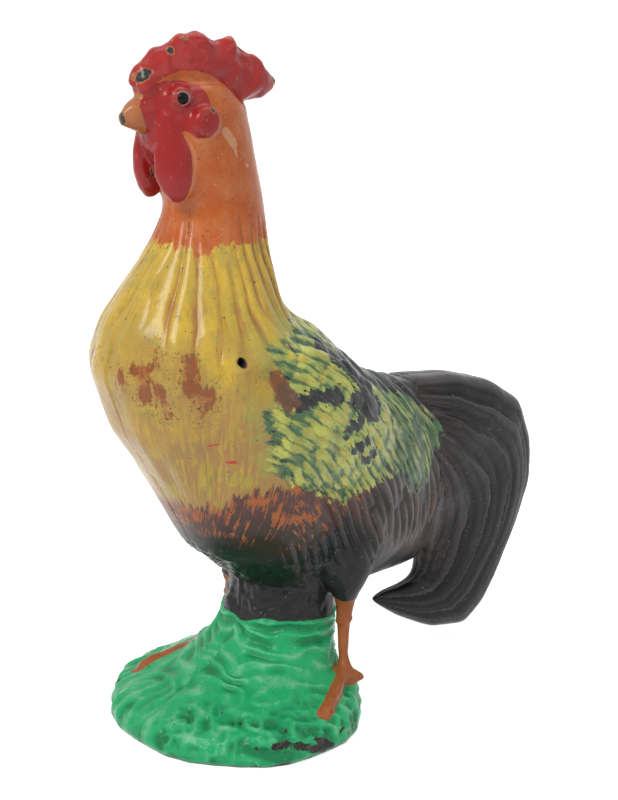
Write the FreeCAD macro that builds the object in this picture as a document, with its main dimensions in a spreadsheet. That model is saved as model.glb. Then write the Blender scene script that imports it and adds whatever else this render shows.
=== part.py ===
import FreeCAD, Part
import math
import os
import Sketcher

# A hand-painted rooster figure, cast as two hollow halves that meet in the middle plane.
# It faces -Y and stands on +Z. Its origin is below its middle, on the floor.

doc = FreeCAD.newDocument("rooster")
sheet = doc.addObject("Spreadsheet::Sheet", "Sizes")

# Driving sizes: alias, value in millimetres, meaning.
SIZES = [
    ("figure_height", 300, "floor to the top of the comb"),
    ("figure_length", 245, "breast to the back of the tail"),
    ("body_width", 104, "across the breast"),
    ("tail_width", 50, "across the root of the tail"),
    ("wing_relief", 8, "half thickness of a wing"),
    ("comb_thickness", 14, "across the comb"),
    ("beak_width", 13, "across the root of the beak"),
    ("wattle_thickness", 9, "across one wattle"),
    ("wattle_spread", 19, "between the middles of the wattles"),
    ("wattle_turn", 22, "degrees that the wattles splay backwards"),
    ("lobe_radius", 6.6, "ear lobe"),
    ("lobe_spread", 38, "across both ear lobes"),
    ("eye_radius", 3.3, "ball of the eye"),
    ("eye_spread", 28, "across both eyes"),
    ("lid_radius", 5.4, "raised ring round the eye"),
    ("lid_spread", 25, "across both eye rings"),
    ("base_width", 123, "across the grass base"),
    ("thigh_spread", 62, "between the middles of the thighs"),
    ("thigh_width", 34, "across a thigh at its top"),
    ("stride", 18, "how far the right thigh stands before the left"),
    ("leg_inset", 8, "how much nearer the middle plane the right thigh stands"),
    ("shank_width", 9, "across a shank"),
    ("toe_width", 7.5, "across a toe at its root"),
    ("foot_spread", 74, "between the ankles"),
    ("wall", 4, "wall of the body and the base"),
    ("tail_wall", 6, "wall of the tail under its feathers"),
    ("screw_diameter", 3.5, "screw that draws the halves together"),
    ("screw_head_diameter", 6.6, "screw head"),
    ("screw_head_height", 2.4, "screw head"),
    ("screw_slot_width", 1, "driver slot"),
    ("screw_slot_depth", 1.1, "driver slot"),
    ("screw_seat", 41, "middle plane to the seat of the screw head"),
    ("screw_reach", 39, "middle plane to the tip of the screw"),
    ("post_radius", 6, "posts inside the body that carry the screw and the pins"),
    ("pin_radius", 3, "pins that line the halves up"),
    ("pin_length", 5, "how far a pin stands out of the left half"),
    ("fit_clearance", 0.1, "gap round the pins and the screw"),
    ("overrun", 8, "how far cutting shapes run past what they cut"),
]

for row, (alias, value, meaning) in enumerate(SIZES, start=1):
    sheet.set(f"A{row}", alias)
    sheet.set(f"B{row}", str(value))
    sheet.set(f"C{row}", meaning)
    sheet.setAlias(f"B{row}", alias)
doc.recompute()

# In the tables of shares, points are shares of figure_length and figure_height in the middle plane.

# Trunk from rump to crown: back point, front point, half width as a share of body_width, outline.
TRUNK_SHARES = [
    ("rump_end", (0.215, 0.420), (0.205, 0.156), 0.130, "plain"),
    ("rump", (0.172, 0.448), (0.140, 0.155), 0.230, "plain"),
    ("loin", (0.128, 0.468), (0.035, 0.158), 0.320, "plain"),
    ("flank", (0.072, 0.482), (-0.095, 0.163), 0.390, "plain"),
    ("belly", (0.020, 0.508), (-0.215, 0.200), 0.412, "plain"),
    ("keel", (-0.024, 0.538), (-0.324, 0.275), 0.438, "plain"),
    ("low_breast", (-0.062, 0.566), (-0.389, 0.370), 0.452, "plain"),
    ("breast", (-0.097, 0.588), (-0.464, 0.462), 0.462, "fluted"),
    ("high_breast", (-0.132, 0.600), (-0.500, 0.550), 0.440, "fluted"),
    ("shoulder", (-0.157, 0.621), (-0.480, 0.613), 0.358, "fluted"),
    ("collar", (-0.165, 0.655), (-0.450, 0.648), 0.300, "fluted"),
    ("cape", (-0.172, 0.690), (-0.413, 0.688), 0.245, "fluted"),
    ("low_neck", (-0.178, 0.730), (-0.380, 0.728), 0.203, "fluted"),
    ("neck", (-0.184, 0.770), (-0.358, 0.765), 0.180, "plain"),
    ("throat", (-0.197, 0.815), (-0.370, 0.805), 0.183, "plain"),
    ("cheek", (-0.205, 0.860), (-0.405, 0.855), 0.173, "plain"),
    ("eye_line", (-0.213, 0.897), (-0.412, 0.893), 0.152, "plain"),
    ("brow", (-0.240, 0.925), (-0.408, 0.925), 0.110, "plain"),
    ("crown", (-0.290, 0.942), (-0.380, 0.942), 0.040, "plain"),
]
TRUNK_CORE_SHARES = TRUNK_SHARES[1:15]

# Tail from its root to the hooked tip: outer point, inner point, half width as a share of tail_width.
TAIL_SHARES = [
    ("tail_root", (0.035, 0.470), (0.125, 0.215), 0.50),
    ("tail_rise", (0.165, 0.468), (0.158, 0.205), 0.48),
    ("tail_crest", (0.285, 0.455), (0.178, 0.196), 0.46),
    ("tail_shoulder", (0.385, 0.430), (0.190, 0.186), 0.43),
    ("tail_bend", (0.466, 0.388), (0.198, 0.177), 0.40),
    ("tail_heel", (0.498, 0.325), (0.204, 0.168), 0.37),
    ("tail_back", (0.503, 0.255), (0.208, 0.158), 0.34),
    ("tail_fall", (0.476, 0.180), (0.210, 0.148), 0.30),
    ("tail_low", (0.431, 0.110), (0.210, 0.140), 0.26),
    ("tail_ankle", (0.386, 0.047), (0.207, 0.132), 0.23),
    ("tail_foot", (0.338, 0.013), (0.195, 0.124), 0.20),
    ("hook_root", (0.250, 0.025), (0.165, 0.119), 0.17),
    ("hook_middle", (0.165, 0.060), (0.128, 0.117), 0.12),
    ("hook_tip", (0.095, 0.098), (0.090, 0.112), 0.045),
]
TAIL_CORE_SHARES = TAIL_SHARES[:9]

# Base and mound from the sole up: back point, front point, half width as a share of base_width.
GROUND_SHARES = [
    ("sole", (-0.022, 0), (-0.452, 0), 0.478),
    ("rim", (-0.012, 0.017), (-0.462, 0.017), 0.500),
    ("rim_top", (-0.020, 0.038), (-0.444, 0.040), 0.470),
    ("turf", (-0.040, 0.056), (-0.385, 0.058), 0.385),
    ("slope", (-0.044, 0.080), (-0.312, 0.084), 0.285),
    ("mound_foot", (-0.036, 0.115), (-0.256, 0.117), 0.228),
    ("mound_waist", (-0.030, 0.155), (-0.234, 0.157), 0.208),
    ("mound_neck", (-0.030, 0.195), (-0.220, 0.195), 0.200),
    ("mound_top", (-0.040, 0.260), (-0.244, 0.260), 0.212),
]
GROUND_CORE_SHARES = [("core_mouth", (-0.034, -0.020), (-0.440, -0.020), 0.455)] + GROUND_SHARES[1:]

# Comb from front to back: top point, bottom point, half width as a share of comb_thickness.
COMB_SHARES = [
    ("comb_front", (-0.428, 0.940), (-0.418, 0.920), 0.20),
    ("comb_lobe_1", (-0.421, 0.957), (-0.408, 0.905), 0.42),
    ("comb_dip_1", (-0.408, 0.965), (-0.388, 0.905), 0.42),
    ("comb_lobe_2", (-0.385, 0.980), (-0.366, 0.905), 0.50),
    ("comb_dip_2", (-0.364, 0.983), (-0.348, 0.905), 0.44),
    ("comb_lobe_3", (-0.338, 0.997), (-0.328, 0.905), 0.54),
    ("comb_peak", (-0.300, 1.000), (-0.296, 0.905), 0.56),
    ("comb_dip_3", (-0.262, 0.985), (-0.268, 0.903), 0.46),
    ("comb_lobe_4", (-0.232, 0.989), (-0.248, 0.900), 0.50),
    ("comb_dip_4", (-0.205, 0.967), (-0.235, 0.898), 0.42),
    ("comb_lobe_5", (-0.175, 0.956), (-0.222, 0.898), 0.44),
    ("comb_drop", (-0.150, 0.938), (-0.190, 0.900), 0.36),
    ("comb_end", (-0.138, 0.920), (-0.150, 0.908), 0.16),
]

# Beak from root to tip: top point, bottom point, half width as a share of beak_width.
BEAK_SHARES = [
    ("beak_root", (-0.385, 0.930), (-0.390, 0.868), 0.58),
    ("beak_base", (-0.405, 0.924), (-0.412, 0.869), 0.50),
    ("beak_middle", (-0.434, 0.915), (-0.434, 0.873), 0.34),
    ("beak_tip", (-0.456, 0.899), (-0.452, 0.880), 0.14),
]

# One wattle from top to bottom: back point, front point, half width as a share of wattle_thickness.
WATTLE_SHARES = [
    ("wattle_top", (-0.360, 0.897), (-0.398, 0.897), 0.28),
    ("wattle_neck", (-0.344, 0.870), (-0.402, 0.870), 0.38),
    ("wattle_middle", (-0.332, 0.842), (-0.411, 0.842), 0.47),
    ("wattle_belly", (-0.334, 0.815), (-0.409, 0.815), 0.50),
    ("wattle_low", (-0.345, 0.795), (-0.397, 0.795), 0.42),
    ("wattle_end", (-0.358, 0.780), (-0.382, 0.780), 0.18),
]

# One wing: upper point, lower point, side place as a share of body_width, half width of wing_relief.
WING_SHARES = [
    ("wing_front", (-0.290, 0.575), (-0.325, 0.505), 0.360, 0.50),
    ("wing_shoulder", (-0.245, 0.592), (-0.310, 0.460), 0.402, 0.70),
    ("wing_bow", (-0.190, 0.582), (-0.285, 0.415), 0.412, 0.95),
    ("wing_bar", (-0.130, 0.558), (-0.230, 0.385), 0.405, 1.00),
    ("wing_flight", (-0.065, 0.518), (-0.165, 0.360), 0.385, 0.95),
    ("wing_point", (0.000, 0.466), (-0.090, 0.340), 0.350, 0.80),
    ("wing_end", (0.055, 0.410), (-0.010, 0.335), 0.290, 0.40),
]

# One thigh from top to bottom: back point, front point, half width as a share of thigh_width.
THIGH_SHARES = [
    ("thigh_top", (0.020, 0.300), (-0.130, 0.290), 0.30),
    ("thigh_middle", (-0.024, 0.235), (-0.128, 0.232), 0.34),
    ("thigh_knee", (-0.058, 0.192), (-0.114, 0.190), 0.24),
    ("thigh_end", (-0.072, 0.176), (-0.100, 0.176), 0.14),
]

# Shanks from top to bottom: middle point, side place as a share of foot_spread, width share.
SHANK_SHARES = {
    "left": [
        ((-0.081, 0.200), 0.42, 0.62),
        ((-0.088, 0.150), 0.42, 0.54),
        ((-0.097, 0.095), 0.45, 0.40),
        ((-0.102, 0.068), 0.50, 0.44),
        ((-0.104, 0.040), 0.51, 0.50),
    ],
    "right": [
        ((-0.160, 0.200), 0.32, 0.62),
        ((-0.168, 0.150), 0.32, 0.54),
        ((-0.190, 0.100), 0.33, 0.42),
        ((-0.220, 0.076), 0.34, 0.46),
        ((-0.226, 0.040), 0.34, 0.50),
    ],
}

# Toes from the ankle out: middle point, side place as a share of foot_spread, width share.
TOE_SHARES = {
    "left": {
        "front_toe": [
            ((-0.098, 0.084), 0.48, 0.36),
            ((-0.120, 0.068), 0.53, 0.44),
            ((-0.156, 0.058), 0.60, 0.44),
            ((-0.190, 0.050), 0.67, 0.52),
            ((-0.204, 0.046), 0.69, 0.34),
        ],
        "hind_toe": [
            ((-0.108, 0.068), 0.50, 0.42),
            ((-0.092, 0.066), 0.52, 0.40),
            ((-0.078, 0.063), 0.53, 0.40),
            ((-0.070, 0.061), 0.54, 0.22),
        ],
    },
    "right": {
        "front_toe": [
            ((-0.214, 0.090), 0.33, 0.36),
            ((-0.240, 0.080), 0.35, 0.44),
            ((-0.285, 0.068), 0.41, 0.46),
            ((-0.330, 0.055), 0.48, 0.52),
            ((-0.346, 0.050), 0.50, 0.34),
        ],
        "inner_toe": [
            ((-0.222, 0.084), 0.33, 0.42),
            ((-0.250, 0.076), 0.28, 0.40),
            ((-0.278, 0.070), 0.24, 0.38),
            ((-0.286, 0.067), 0.23, 0.22),
        ],
        "hind_toe": [
            ((-0.224, 0.072), 0.34, 0.42),
            ((-0.198, 0.068), 0.36, 0.38),
            ((-0.180, 0.066), 0.38, 0.24),
        ],
    },
}

# How far each outline of an eye or ear lobe stands out, and how wide it is.
BUTTON_SHARES = [(0.50, 1.00), (0.90, 1.00), (0.98, 0.85), (1.00, 0.50)]

# Corners of the screw: out from its axis as a share of its radius, and along it.
SCREW_POINT_SHARE = 0.6
SCREW_HEAD_SHARES = [("edge", 1, 0.45), ("dome", 0.75, 0.85), ("crown", 0.4, 1), ("top", 0, 1)]

EYE_SHARE = (-0.366, 0.915)
LOBE_SHARE = (-0.333, 0.884)
SCREW_SHARE = (-0.349, 0.579)
PIN_SHARES = {"head": (-0.300, 0.900), "tail": (0.310, 0.062), "base": (-0.415, 0.030)}
FLUTE_DEPTH_SHARE = 0.025
FEATHER_DEPTH_SHARE = 0.05
GRASS_DEPTH_SHARE = 0.02


def ring(name, count, depth_share=0.0):
    """A closed unit outline of straight sides, in which every second pair of corners may be sunk.

    The count is a multiple of eight, so that the pairs lie alike on both sides of the middle plane.
    """
    corners = []
    for step in range(count):
        turn = math.tau * (step + 0.5) / count
        pair = (step + 1) // 2
        radius = 1 if pair % 2 else 1 - depth_share
        corners.append(FreeCAD.Vector(radius * math.cos(turn), radius * math.sin(turn), 0))
    outline = doc.addObject("Part::Feature", name)
    outline.Shape = Part.makePolygon(corners + corners[:1])
    return outline


def along(share):
    return f"Sizes.figure_length * ({share})"


def upward(share):
    return f"Sizes.figure_height * ({share})"


def section(name, unit, back, front, half_width, side="0", ahead="0", shrink="0", turn="0"):
    """A unit outline, scaled so that it reaches from the back point to the front point."""
    rise = upward(f"{back[1]} - {front[1]}")
    run = along(f"{back[0]} - {front[0]}")
    outline = doc.addObject("Part::Scale", name)
    outline.Base = unit
    outline.Uniform = False
    outline.setExpression("XScale", f"{half_width} - {shrink}")
    outline.setExpression("YScale", f"hypot({run}; {rise}) / 2 - {shrink}")
    outline.ZScale = 1
    place_y = along(f"({back[0]} + {front[0]}) / 2")
    place_z = upward(f"({back[1]} + {front[1]}) / 2")
    place = f"vector({side}; {place_y} - {ahead}; {place_z})"
    outline.setExpression("Placement", f"placement({place}; rotation({turn}; 0; atan2({rise}; {run})))")
    return outline


def stub(name, unit, point, width, side, flat):
    """A small outline round a point, lying flat for a shank or standing upright for a toe."""
    outline = doc.addObject("Part::Scale", name)
    outline.Base = unit
    outline.Uniform = False
    outline.setExpression("XScale", width)
    outline.setExpression("YScale", width)
    outline.ZScale = 1
    place = f"vector({side}; {along(point[0])}; {upward(point[1])})"
    tilt = 0 if flat else 90
    outline.setExpression("Placement", f"placement({place}; rotation(0; 0; {tilt}))")
    return outline


def loft(name, sections):
    solid = doc.addObject("Part::Loft", name)
    solid.Sections = sections
    solid.Solid = True
    solid.Ruled = True
    return solid


def join(name, shapes):
    solid = doc.addObject("Part::MultiFuse", name)
    solid.Shapes = shapes
    solid.Refine = False
    return solid


def cut(name, base, tool):
    solid = doc.addObject("Part::Cut", name)
    solid.Base = base
    solid.Tool = tool
    solid.Refine = False
    return solid


def common(name, shapes):
    solid = doc.addObject("Part::MultiCommon", name)
    solid.Shapes = shapes
    solid.Refine = False
    return solid


def bar(name, radius, share, start, length):
    """A round bar along X through a point of the middle plane."""
    cylinder = doc.addObject("Part::Cylinder", name)
    cylinder.setExpression("Radius", radius)
    cylinder.setExpression("Height", length)
    place = f"vector({start}; {along(share[0])}; {upward(share[1])})"
    cylinder.setExpression("Placement", f"placement({place}; rotation(0; 90; 0))")
    return cylinder


def disc(name, radius, share, side):
    """A round outline that faces sideways, for the eyes and the ear lobes."""
    outline = doc.addObject("Part::Scale", name)
    outline.Base = small_ring
    outline.Uniform = False
    outline.setExpression("XScale", radius)
    outline.setExpression("YScale", radius)
    outline.ZScale = 1
    place = f"vector({side}; {along(share[0])}; {upward(share[1])})"
    outline.setExpression("Placement", f"placement({place}; rotation(0; 90; 0))")
    return outline


def button(name, radius, spread, share, side):
    """A round cushion that stands out of one side of the head."""
    return loft(name, [
        disc(f"{name}_{k}", f"{radius} * {wide}", share, f"{spread} * {side / 2 * out}")
        for k, (out, wide) in enumerate(BUTTON_SHARES)])


def facet_solid(name, sections):
    """A closed solid of flat triangles between the corners of neighbouring sections."""
    doc.recompute()
    rows = [[vertex.Point for vertex in row.Shape.Wires[0].OrderedVertexes] for row in sections]
    faces = [Part.Face(Part.makePolygon(row + row[:1])) for row in (rows[0], rows[-1])]
    for low, high in zip(rows, rows[1:]):
        for k in range(len(low)):
            after = (k + 1) % len(low)
            for corners in ((low[k], low[after], high[after]), (low[k], high[after], high[k])):
                faces.append(Part.Face(Part.makePolygon(corners + corners[:1])))
    shell = Part.Shell(faces)
    shell.sewShape()
    solid = doc.addObject("Part::Feature", name)
    solid.Shape = Part.Solid(shell)
    return solid


outlines = {
    "plain": ring("PlainRing", 48),
    "fluted": ring("FlutedRing", 48, FLUTE_DEPTH_SHARE),
}
feather_ring = ring("FeatherRing", 32, FEATHER_DEPTH_SHARE)
grass_ring = ring("GrassRing", 32, GRASS_DEPTH_SHARE)
small_ring = ring("SmallRing", 12)
toe_ring = ring("ToeRing", 8)


def make_trunk():
    rows = [
        section(name, outlines[kind], back, front, f"Sizes.body_width * {width}")
        for name, back, front, width, kind in TRUNK_SHARES]
    return loft("trunk", rows)


def make_central(name, unit, size, table):
    """A loft in the middle plane whose widths are shares of one size."""
    rows = [
        section(row, unit, back, front, f"Sizes.{size} * {width}")
        for row, back, front, width in table]
    return loft(name, rows)


def make_side(word, side):
    """Everything that stands out of one side of the bird."""
    ahead = "0" if side > 0 else "Sizes.stride"
    inset = "0" if side > 0 else "Sizes.leg_inset"
    wattle = loft(f"{word}_wattle", [
        section(f"{word}_{name}", small_ring, back, front, f"Sizes.wattle_thickness * {width}",
                side=f"Sizes.wattle_spread * {side / 2}", turn=f"Sizes.wattle_turn * {-side}")
        for name, back, front, width in WATTLE_SHARES])
    wing = loft(f"{word}_wing", [
        section(f"{word}_{name}", small_ring, back, front, f"Sizes.wing_relief * {width}",
                side=f"Sizes.body_width * {side * out}")
        for name, back, front, out, width in WING_SHARES])
    thigh = loft(f"{word}_thigh", [
        section(f"{word}_{name}", small_ring, back, front, f"Sizes.thigh_width * {width}",
                side=f"Sizes.thigh_spread * {side / 2} + {inset}", ahead=ahead)
        for name, back, front, width in THIGH_SHARES])
    shank = loft(f"{word}_shank", [
        stub(f"{word}_shank_{k}", toe_ring, point, f"Sizes.shank_width * {width}",
             f"Sizes.foot_spread * {side * out}", True)
        for k, (point, out, width) in enumerate(SHANK_SHARES[word])])
    toes = [
        loft(f"{word}_{toe}", [
            stub(f"{word}_{toe}_{k}", toe_ring, point, f"Sizes.toe_width * {width}",
                 f"Sizes.foot_spread * {side * out}", False)
            for k, (point, out, width) in enumerate(stations)])
        for toe, stations in TOE_SHARES[word].items()]
    lobe = button(f"{word}_ear_lobe", "Sizes.lobe_radius", "Sizes.lobe_spread", LOBE_SHARE, side)
    lid = button(f"{word}_eye_ring", "Sizes.lid_radius", "Sizes.lid_spread", EYE_SHARE, side)
    eye = button(f"{word}_eye", "Sizes.eye_radius", "Sizes.eye_spread", EYE_SHARE, side)
    return [wattle, wing, thigh, shank, lobe, lid, eye] + toes


def make_core(name, size, wall, table):
    """The hollow inside one of the lofts, a wall smaller all round."""
    return facet_solid(name, [
        section(f"core_{row[0]}", small_ring, row[1], row[2], f"Sizes.{size} * {row[3]}",
                shrink=f"Sizes.{wall}")
        for row in table])


def make_hollow():
    """The inside of the casting, open at the sole, less the posts that cross it."""
    cores = join("cores", [
        make_core("trunk_core", "body_width", "wall", TRUNK_CORE_SHARES),
        make_core("tail_core", "tail_width", "tail_wall", TAIL_CORE_SHARES),
        make_core("ground_core", "base_width", "wall", GROUND_CORE_SHARES),
    ])
    posts = join("posts", [
        bar("screw_post", "Sizes.post_radius", SCREW_SHARE, "-Sizes.base_width", "2 * Sizes.base_width"),
        bar("base_post", "Sizes.post_radius", PIN_SHARES["base"],
            "-Sizes.base_width", "2 * Sizes.base_width"),
    ])
    return cut("hollow", cores, posts)


def make_bores():
    """The through hole of the screw and the seat that its head sinks into on the right side."""
    bore = bar("screw_bore", "Sizes.screw_diameter / 2 + Sizes.fit_clearance", SCREW_SHARE,
               "-Sizes.base_width", "2 * Sizes.base_width")
    seat = bar("head_bore", "Sizes.screw_head_diameter / 2 + Sizes.fit_clearance", SCREW_SHARE,
               "-Sizes.base_width", "Sizes.base_width - Sizes.screw_seat")
    return [bore, seat]


def half_space(name):
    """A box that holds everything on the left of the middle plane."""
    box = doc.addObject("Part::Box", name)
    box.setExpression("Length", "Sizes.base_width")
    box.setExpression("Width", "2 * Sizes.figure_length")
    box.setExpression("Height", "Sizes.figure_height + 2 * Sizes.overrun")
    place = "vector(0; -Sizes.figure_length; -Sizes.overrun)"
    box.setExpression("Placement", f"placement({place}; rotation(0; 0; 0))")
    return box


def make_halves():
    """Both castings: the left one keeps the pins, and the right one has their sockets."""
    middle = [
        make_trunk(),
        make_central("tail", feather_ring, "tail_width", TAIL_SHARES),
        make_central("ground", grass_ring, "base_width", GROUND_SHARES),
        make_central("comb", small_ring, "comb_thickness", COMB_SHARES),
        make_central("beak", small_ring, "beak_width", BEAK_SHARES),
    ]
    figure = join("figure", middle + make_side("left", 1) + make_side("right", -1))
    casting = cut("casting", figure, join("cavities", [make_hollow()] + make_bores()))
    pins = [
        bar(f"{n}_pin", "Sizes.pin_radius", p, "-Sizes.pin_length", "2 * Sizes.pin_length")
        for n, p in PIN_SHARES.items()]
    sockets = [
        bar(f"{n}_socket", "Sizes.pin_radius + Sizes.fit_clearance", p,
            "-Sizes.pin_length - Sizes.fit_clearance", "Sizes.pin_length + Sizes.overrun")
        for n, p in PIN_SHARES.items()]
    left = common("left_half", [casting, join("left_space", [half_space("pin_side")] + pins)])
    right = cut("right_half", casting, join("left_room", [half_space("socket_side")] + sockets))
    return left, right


def bind(sketch, kind, first, second, word, expression):
    """Add one named distance to a sketch and bind it to the sheet."""
    index = sketch.addConstraint(Sketcher.Constraint(kind, *first, *second, 1))
    sketch.renameConstraint(index, word)
    sketch.setExpression(f"Constraints.{word}", expression)


def draw_outline(sketch, corners):
    """Draw a closed outline through named corners, each bound by its distances from the origin."""
    count = len(corners)
    for k in range(count):
        start = FreeCAD.Vector(k + 1, k, 0)
        end = FreeCAD.Vector((k + 1) % count + 1, (k + 1) % count, 0)
        sketch.addGeometry(Part.LineSegment(start, end), False)
    for k in range(count):
        sketch.addConstraint(Sketcher.Constraint("Coincident", k, 2, (k + 1) % count, 1))
    for k, (word, across, up) in enumerate(corners):
        if across == "0":
            sketch.addConstraint(Sketcher.Constraint("PointOnObject", k, 1, -2))
        else:
            bind(sketch, "DistanceX", (-1, 1), (k, 1), f"{word}_across", across)
        if up == "0":
            sketch.addConstraint(Sketcher.Constraint("PointOnObject", k, 1, -1))
        else:
            bind(sketch, "DistanceY", (-1, 1), (k, 1), f"{word}_up", up)


def sketch_on(body, role, name):
    sketch = body.newObject("Sketcher::SketchObject", name)
    plane = next(feature for feature in body.Origin.OriginFeatures if feature.Role == role)
    sketch.AttachmentSupport = (plane, "")
    sketch.MapMode = "FlatFace"
    return sketch


def make_screw():
    """A slotted machine screw, turned about its axis, with a domed head."""
    body = doc.addObject("PartDesign::Body", "assembly_screw")
    profile = sketch_on(body, "XZ_Plane", "screw_profile")
    shank = "Sizes.screw_diameter / 2"
    head = "Sizes.screw_head_diameter / 2"
    high = "Sizes.screw_head_height"
    length = "(Sizes.screw_seat + Sizes.screw_reach)"
    draw_outline(profile, [
        ("tip", "0", f"-{length}"),
        ("point", f"{shank} * {SCREW_POINT_SHARE}", f"-{length}"),
        ("thread", shank, f"{shank} * {SCREW_POINT_SHARE} - {length}"),
        ("neck", shank, "0"),
        ("seat", head, "0"),
    ] + [
        (word, f"{head} * {out}" if out else "0", f"{high} * {rise}")
        for word, out, rise in SCREW_HEAD_SHARES])
    turned = body.newObject("PartDesign::Revolution", "turned")
    turned.Profile = profile
    turned.ReferenceAxis = (profile, ["V_Axis"])
    turned.Angle = 360
    outline = sketch_on(body, "XZ_Plane", "slot_profile")
    half = "Sizes.screw_slot_width / 2"
    floor = f"{high} - Sizes.screw_slot_depth"
    draw_outline(outline, [
        ("low_left", f"-{half}", floor),
        ("low_right", half, floor),
        ("high_right", half, f"{high} + Sizes.overrun"),
        ("high_left", f"-{half}", f"{high} + Sizes.overrun"),
    ])
    slot = body.newObject("PartDesign::Pocket", "slot")
    slot.Profile = outline
    slot.Type = "ThroughAll"
    slot.Midplane = True
    place = f"vector(-Sizes.screw_seat; {along(SCREW_SHARE[0])}; {upward(SCREW_SHARE[1])})"
    body.setExpression("Placement", f"placement({place}; rotation(0; -90; 0))")
    return body


def check(nodes):
    """Stop before anything is written if an object failed or a sub-part isn't one sound solid."""
    failed = [item.Name for item in doc.Objects if "Invalid" in item.State or "Error" in item.State]
    if failed:
        raise RuntimeError(f"failed objects: {failed}")
    for node in nodes:
        if node.Shape.isNull() or not node.Shape.isValid() or len(node.Shape.Solids) != 1:
            raise RuntimeError(f"{node.Label} isn't one valid solid")


nodes = [*make_halves(), make_screw()]
doc.recompute()
check(nodes)
os.makedirs("parts", exist_ok=True)
for node in nodes:
    node.Shape.exportStep(f"parts/{node.Label}.step")
    print(node.Label, round(node.Shape.Volume), "cubic millimetres")
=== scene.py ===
"""A hand-painted rooster ornament, dressed over its two packed hollow castings and their screw."""
import logging
import math
from dataclasses import dataclass, field
from enum import Enum
from typing import Any, Sequence

import bmesh
import bpy
import numpy as np
from mathutils import Matrix, Vector


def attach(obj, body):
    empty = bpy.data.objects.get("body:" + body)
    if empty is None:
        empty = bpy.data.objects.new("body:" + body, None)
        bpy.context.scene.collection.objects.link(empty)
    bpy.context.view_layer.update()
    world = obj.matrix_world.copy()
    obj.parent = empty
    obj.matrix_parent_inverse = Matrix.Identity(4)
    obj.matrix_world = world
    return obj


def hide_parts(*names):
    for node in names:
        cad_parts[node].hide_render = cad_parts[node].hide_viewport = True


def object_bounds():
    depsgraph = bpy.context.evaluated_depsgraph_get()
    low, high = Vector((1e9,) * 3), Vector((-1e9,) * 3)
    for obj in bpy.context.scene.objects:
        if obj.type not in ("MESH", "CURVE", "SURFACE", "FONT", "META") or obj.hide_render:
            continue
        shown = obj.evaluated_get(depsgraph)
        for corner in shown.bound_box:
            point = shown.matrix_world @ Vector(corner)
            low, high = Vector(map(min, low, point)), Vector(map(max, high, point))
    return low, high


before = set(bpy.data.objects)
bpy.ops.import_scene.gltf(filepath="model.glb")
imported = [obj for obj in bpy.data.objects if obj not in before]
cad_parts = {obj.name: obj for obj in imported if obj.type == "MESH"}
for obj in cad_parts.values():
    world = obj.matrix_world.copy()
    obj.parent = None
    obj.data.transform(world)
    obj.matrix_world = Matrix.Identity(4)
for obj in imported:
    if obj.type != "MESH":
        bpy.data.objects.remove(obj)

LOG = logging.getLogger("rooster")
CAD_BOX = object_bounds()
MM = 0.001
OFF = -50.0
WHITE = (1.0, 1.0, 1.0)
Colour = tuple[float, float, float]
Array = np.ndarray


class Side(Enum):
    """The two sides of the bird, by the sign of X."""

    LEFT = 1
    RIGHT = -1


class Grain:
    """Smooth lattice noise on arrays of points, the same on every run."""

    TURN = np.array(Matrix.Rotation(0.7, 3, "X") @ Matrix.Rotation(0.9, 3, "Y")
                    @ Matrix.Rotation(0.5, 3, "Z"))
    PRIMES = (73856093, 19349663, 83492791)
    SEED_STEP = 2654435
    STIR = 1274126177
    BINS = 65521

    @classmethod
    def cells(cls, corner: Array, seed: int) -> Array:
        """A number from 0 to 1 for each lattice cell.

        Args:
            corner: whole-number lattice corners, one row each.
            seed: picks one pattern.

        Returns:
            One value for each row.
        """
        mixed = seed * cls.SEED_STEP
        for column, prime in zip(corner.T, cls.PRIMES):
            mixed = mixed ^ column * prime
        mixed = (mixed ^ (mixed >> 13)) * cls.STIR
        mixed = (mixed ^ (mixed >> 16)) & 0x7FFFFFFF
        return (mixed % cls.BINS) / cls.BINS

    @classmethod
    def soft(cls, points: Array, size: float, seed: int) -> Array:
        """Smooth noise from -1 to 1.

        Args:
            points: places, one row each.
            size: distance between lattice points.
            seed: picks one pattern.

        Returns:
            One value for each point.
        """
        scaled = points @ cls.TURN / size
        base = np.floor(scaled).astype(np.int64)
        part = scaled - base
        part = part * part * (3.0 - 2.0 * part)
        total = np.zeros(len(points))
        for corner in range(8):
            step = np.array([corner & 1, corner >> 1 & 1, corner >> 2 & 1])
            share = np.prod(np.where(step, part, 1.0 - part), axis=1)
            total += share * cls.cells(base + step, seed)
        return total * 2.0 - 1.0

    @classmethod
    def rough(cls, points: Array, size: float, seed: int, layers: int = 3) -> Array:
        """Noise of several sizes added up.

        Args:
            points: places, one row each.
            size: distance between lattice points of the coarsest layer.
            seed: picks one pattern.
            layers: how many sizes, each half of the one before.

        Returns:
            One value for each point, about -1 to 1.
        """
        total = sum(cls.soft(points, size / 2 ** k, seed + k) / 2 ** k for k in range(layers))
        return total / 1.6


def ease(low: float, high: float, value: Array) -> Array:
    """A smooth step from 0 at low to 1 at high."""
    part = np.clip((value - low) / (high - low), 0.0, 1.0)
    return part * part * (3.0 - 2.0 * part)


def bell(value: Array, width: float) -> Array:
    """A bump of height 1 round 0."""
    return np.exp(-(value / width) ** 2)


def rows(*columns: Any) -> Array:
    """Columns of numbers side by side, one row for each point."""
    return np.stack(np.broadcast_arrays(*[np.asarray(c, float) for c in columns]), axis=1)


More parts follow.
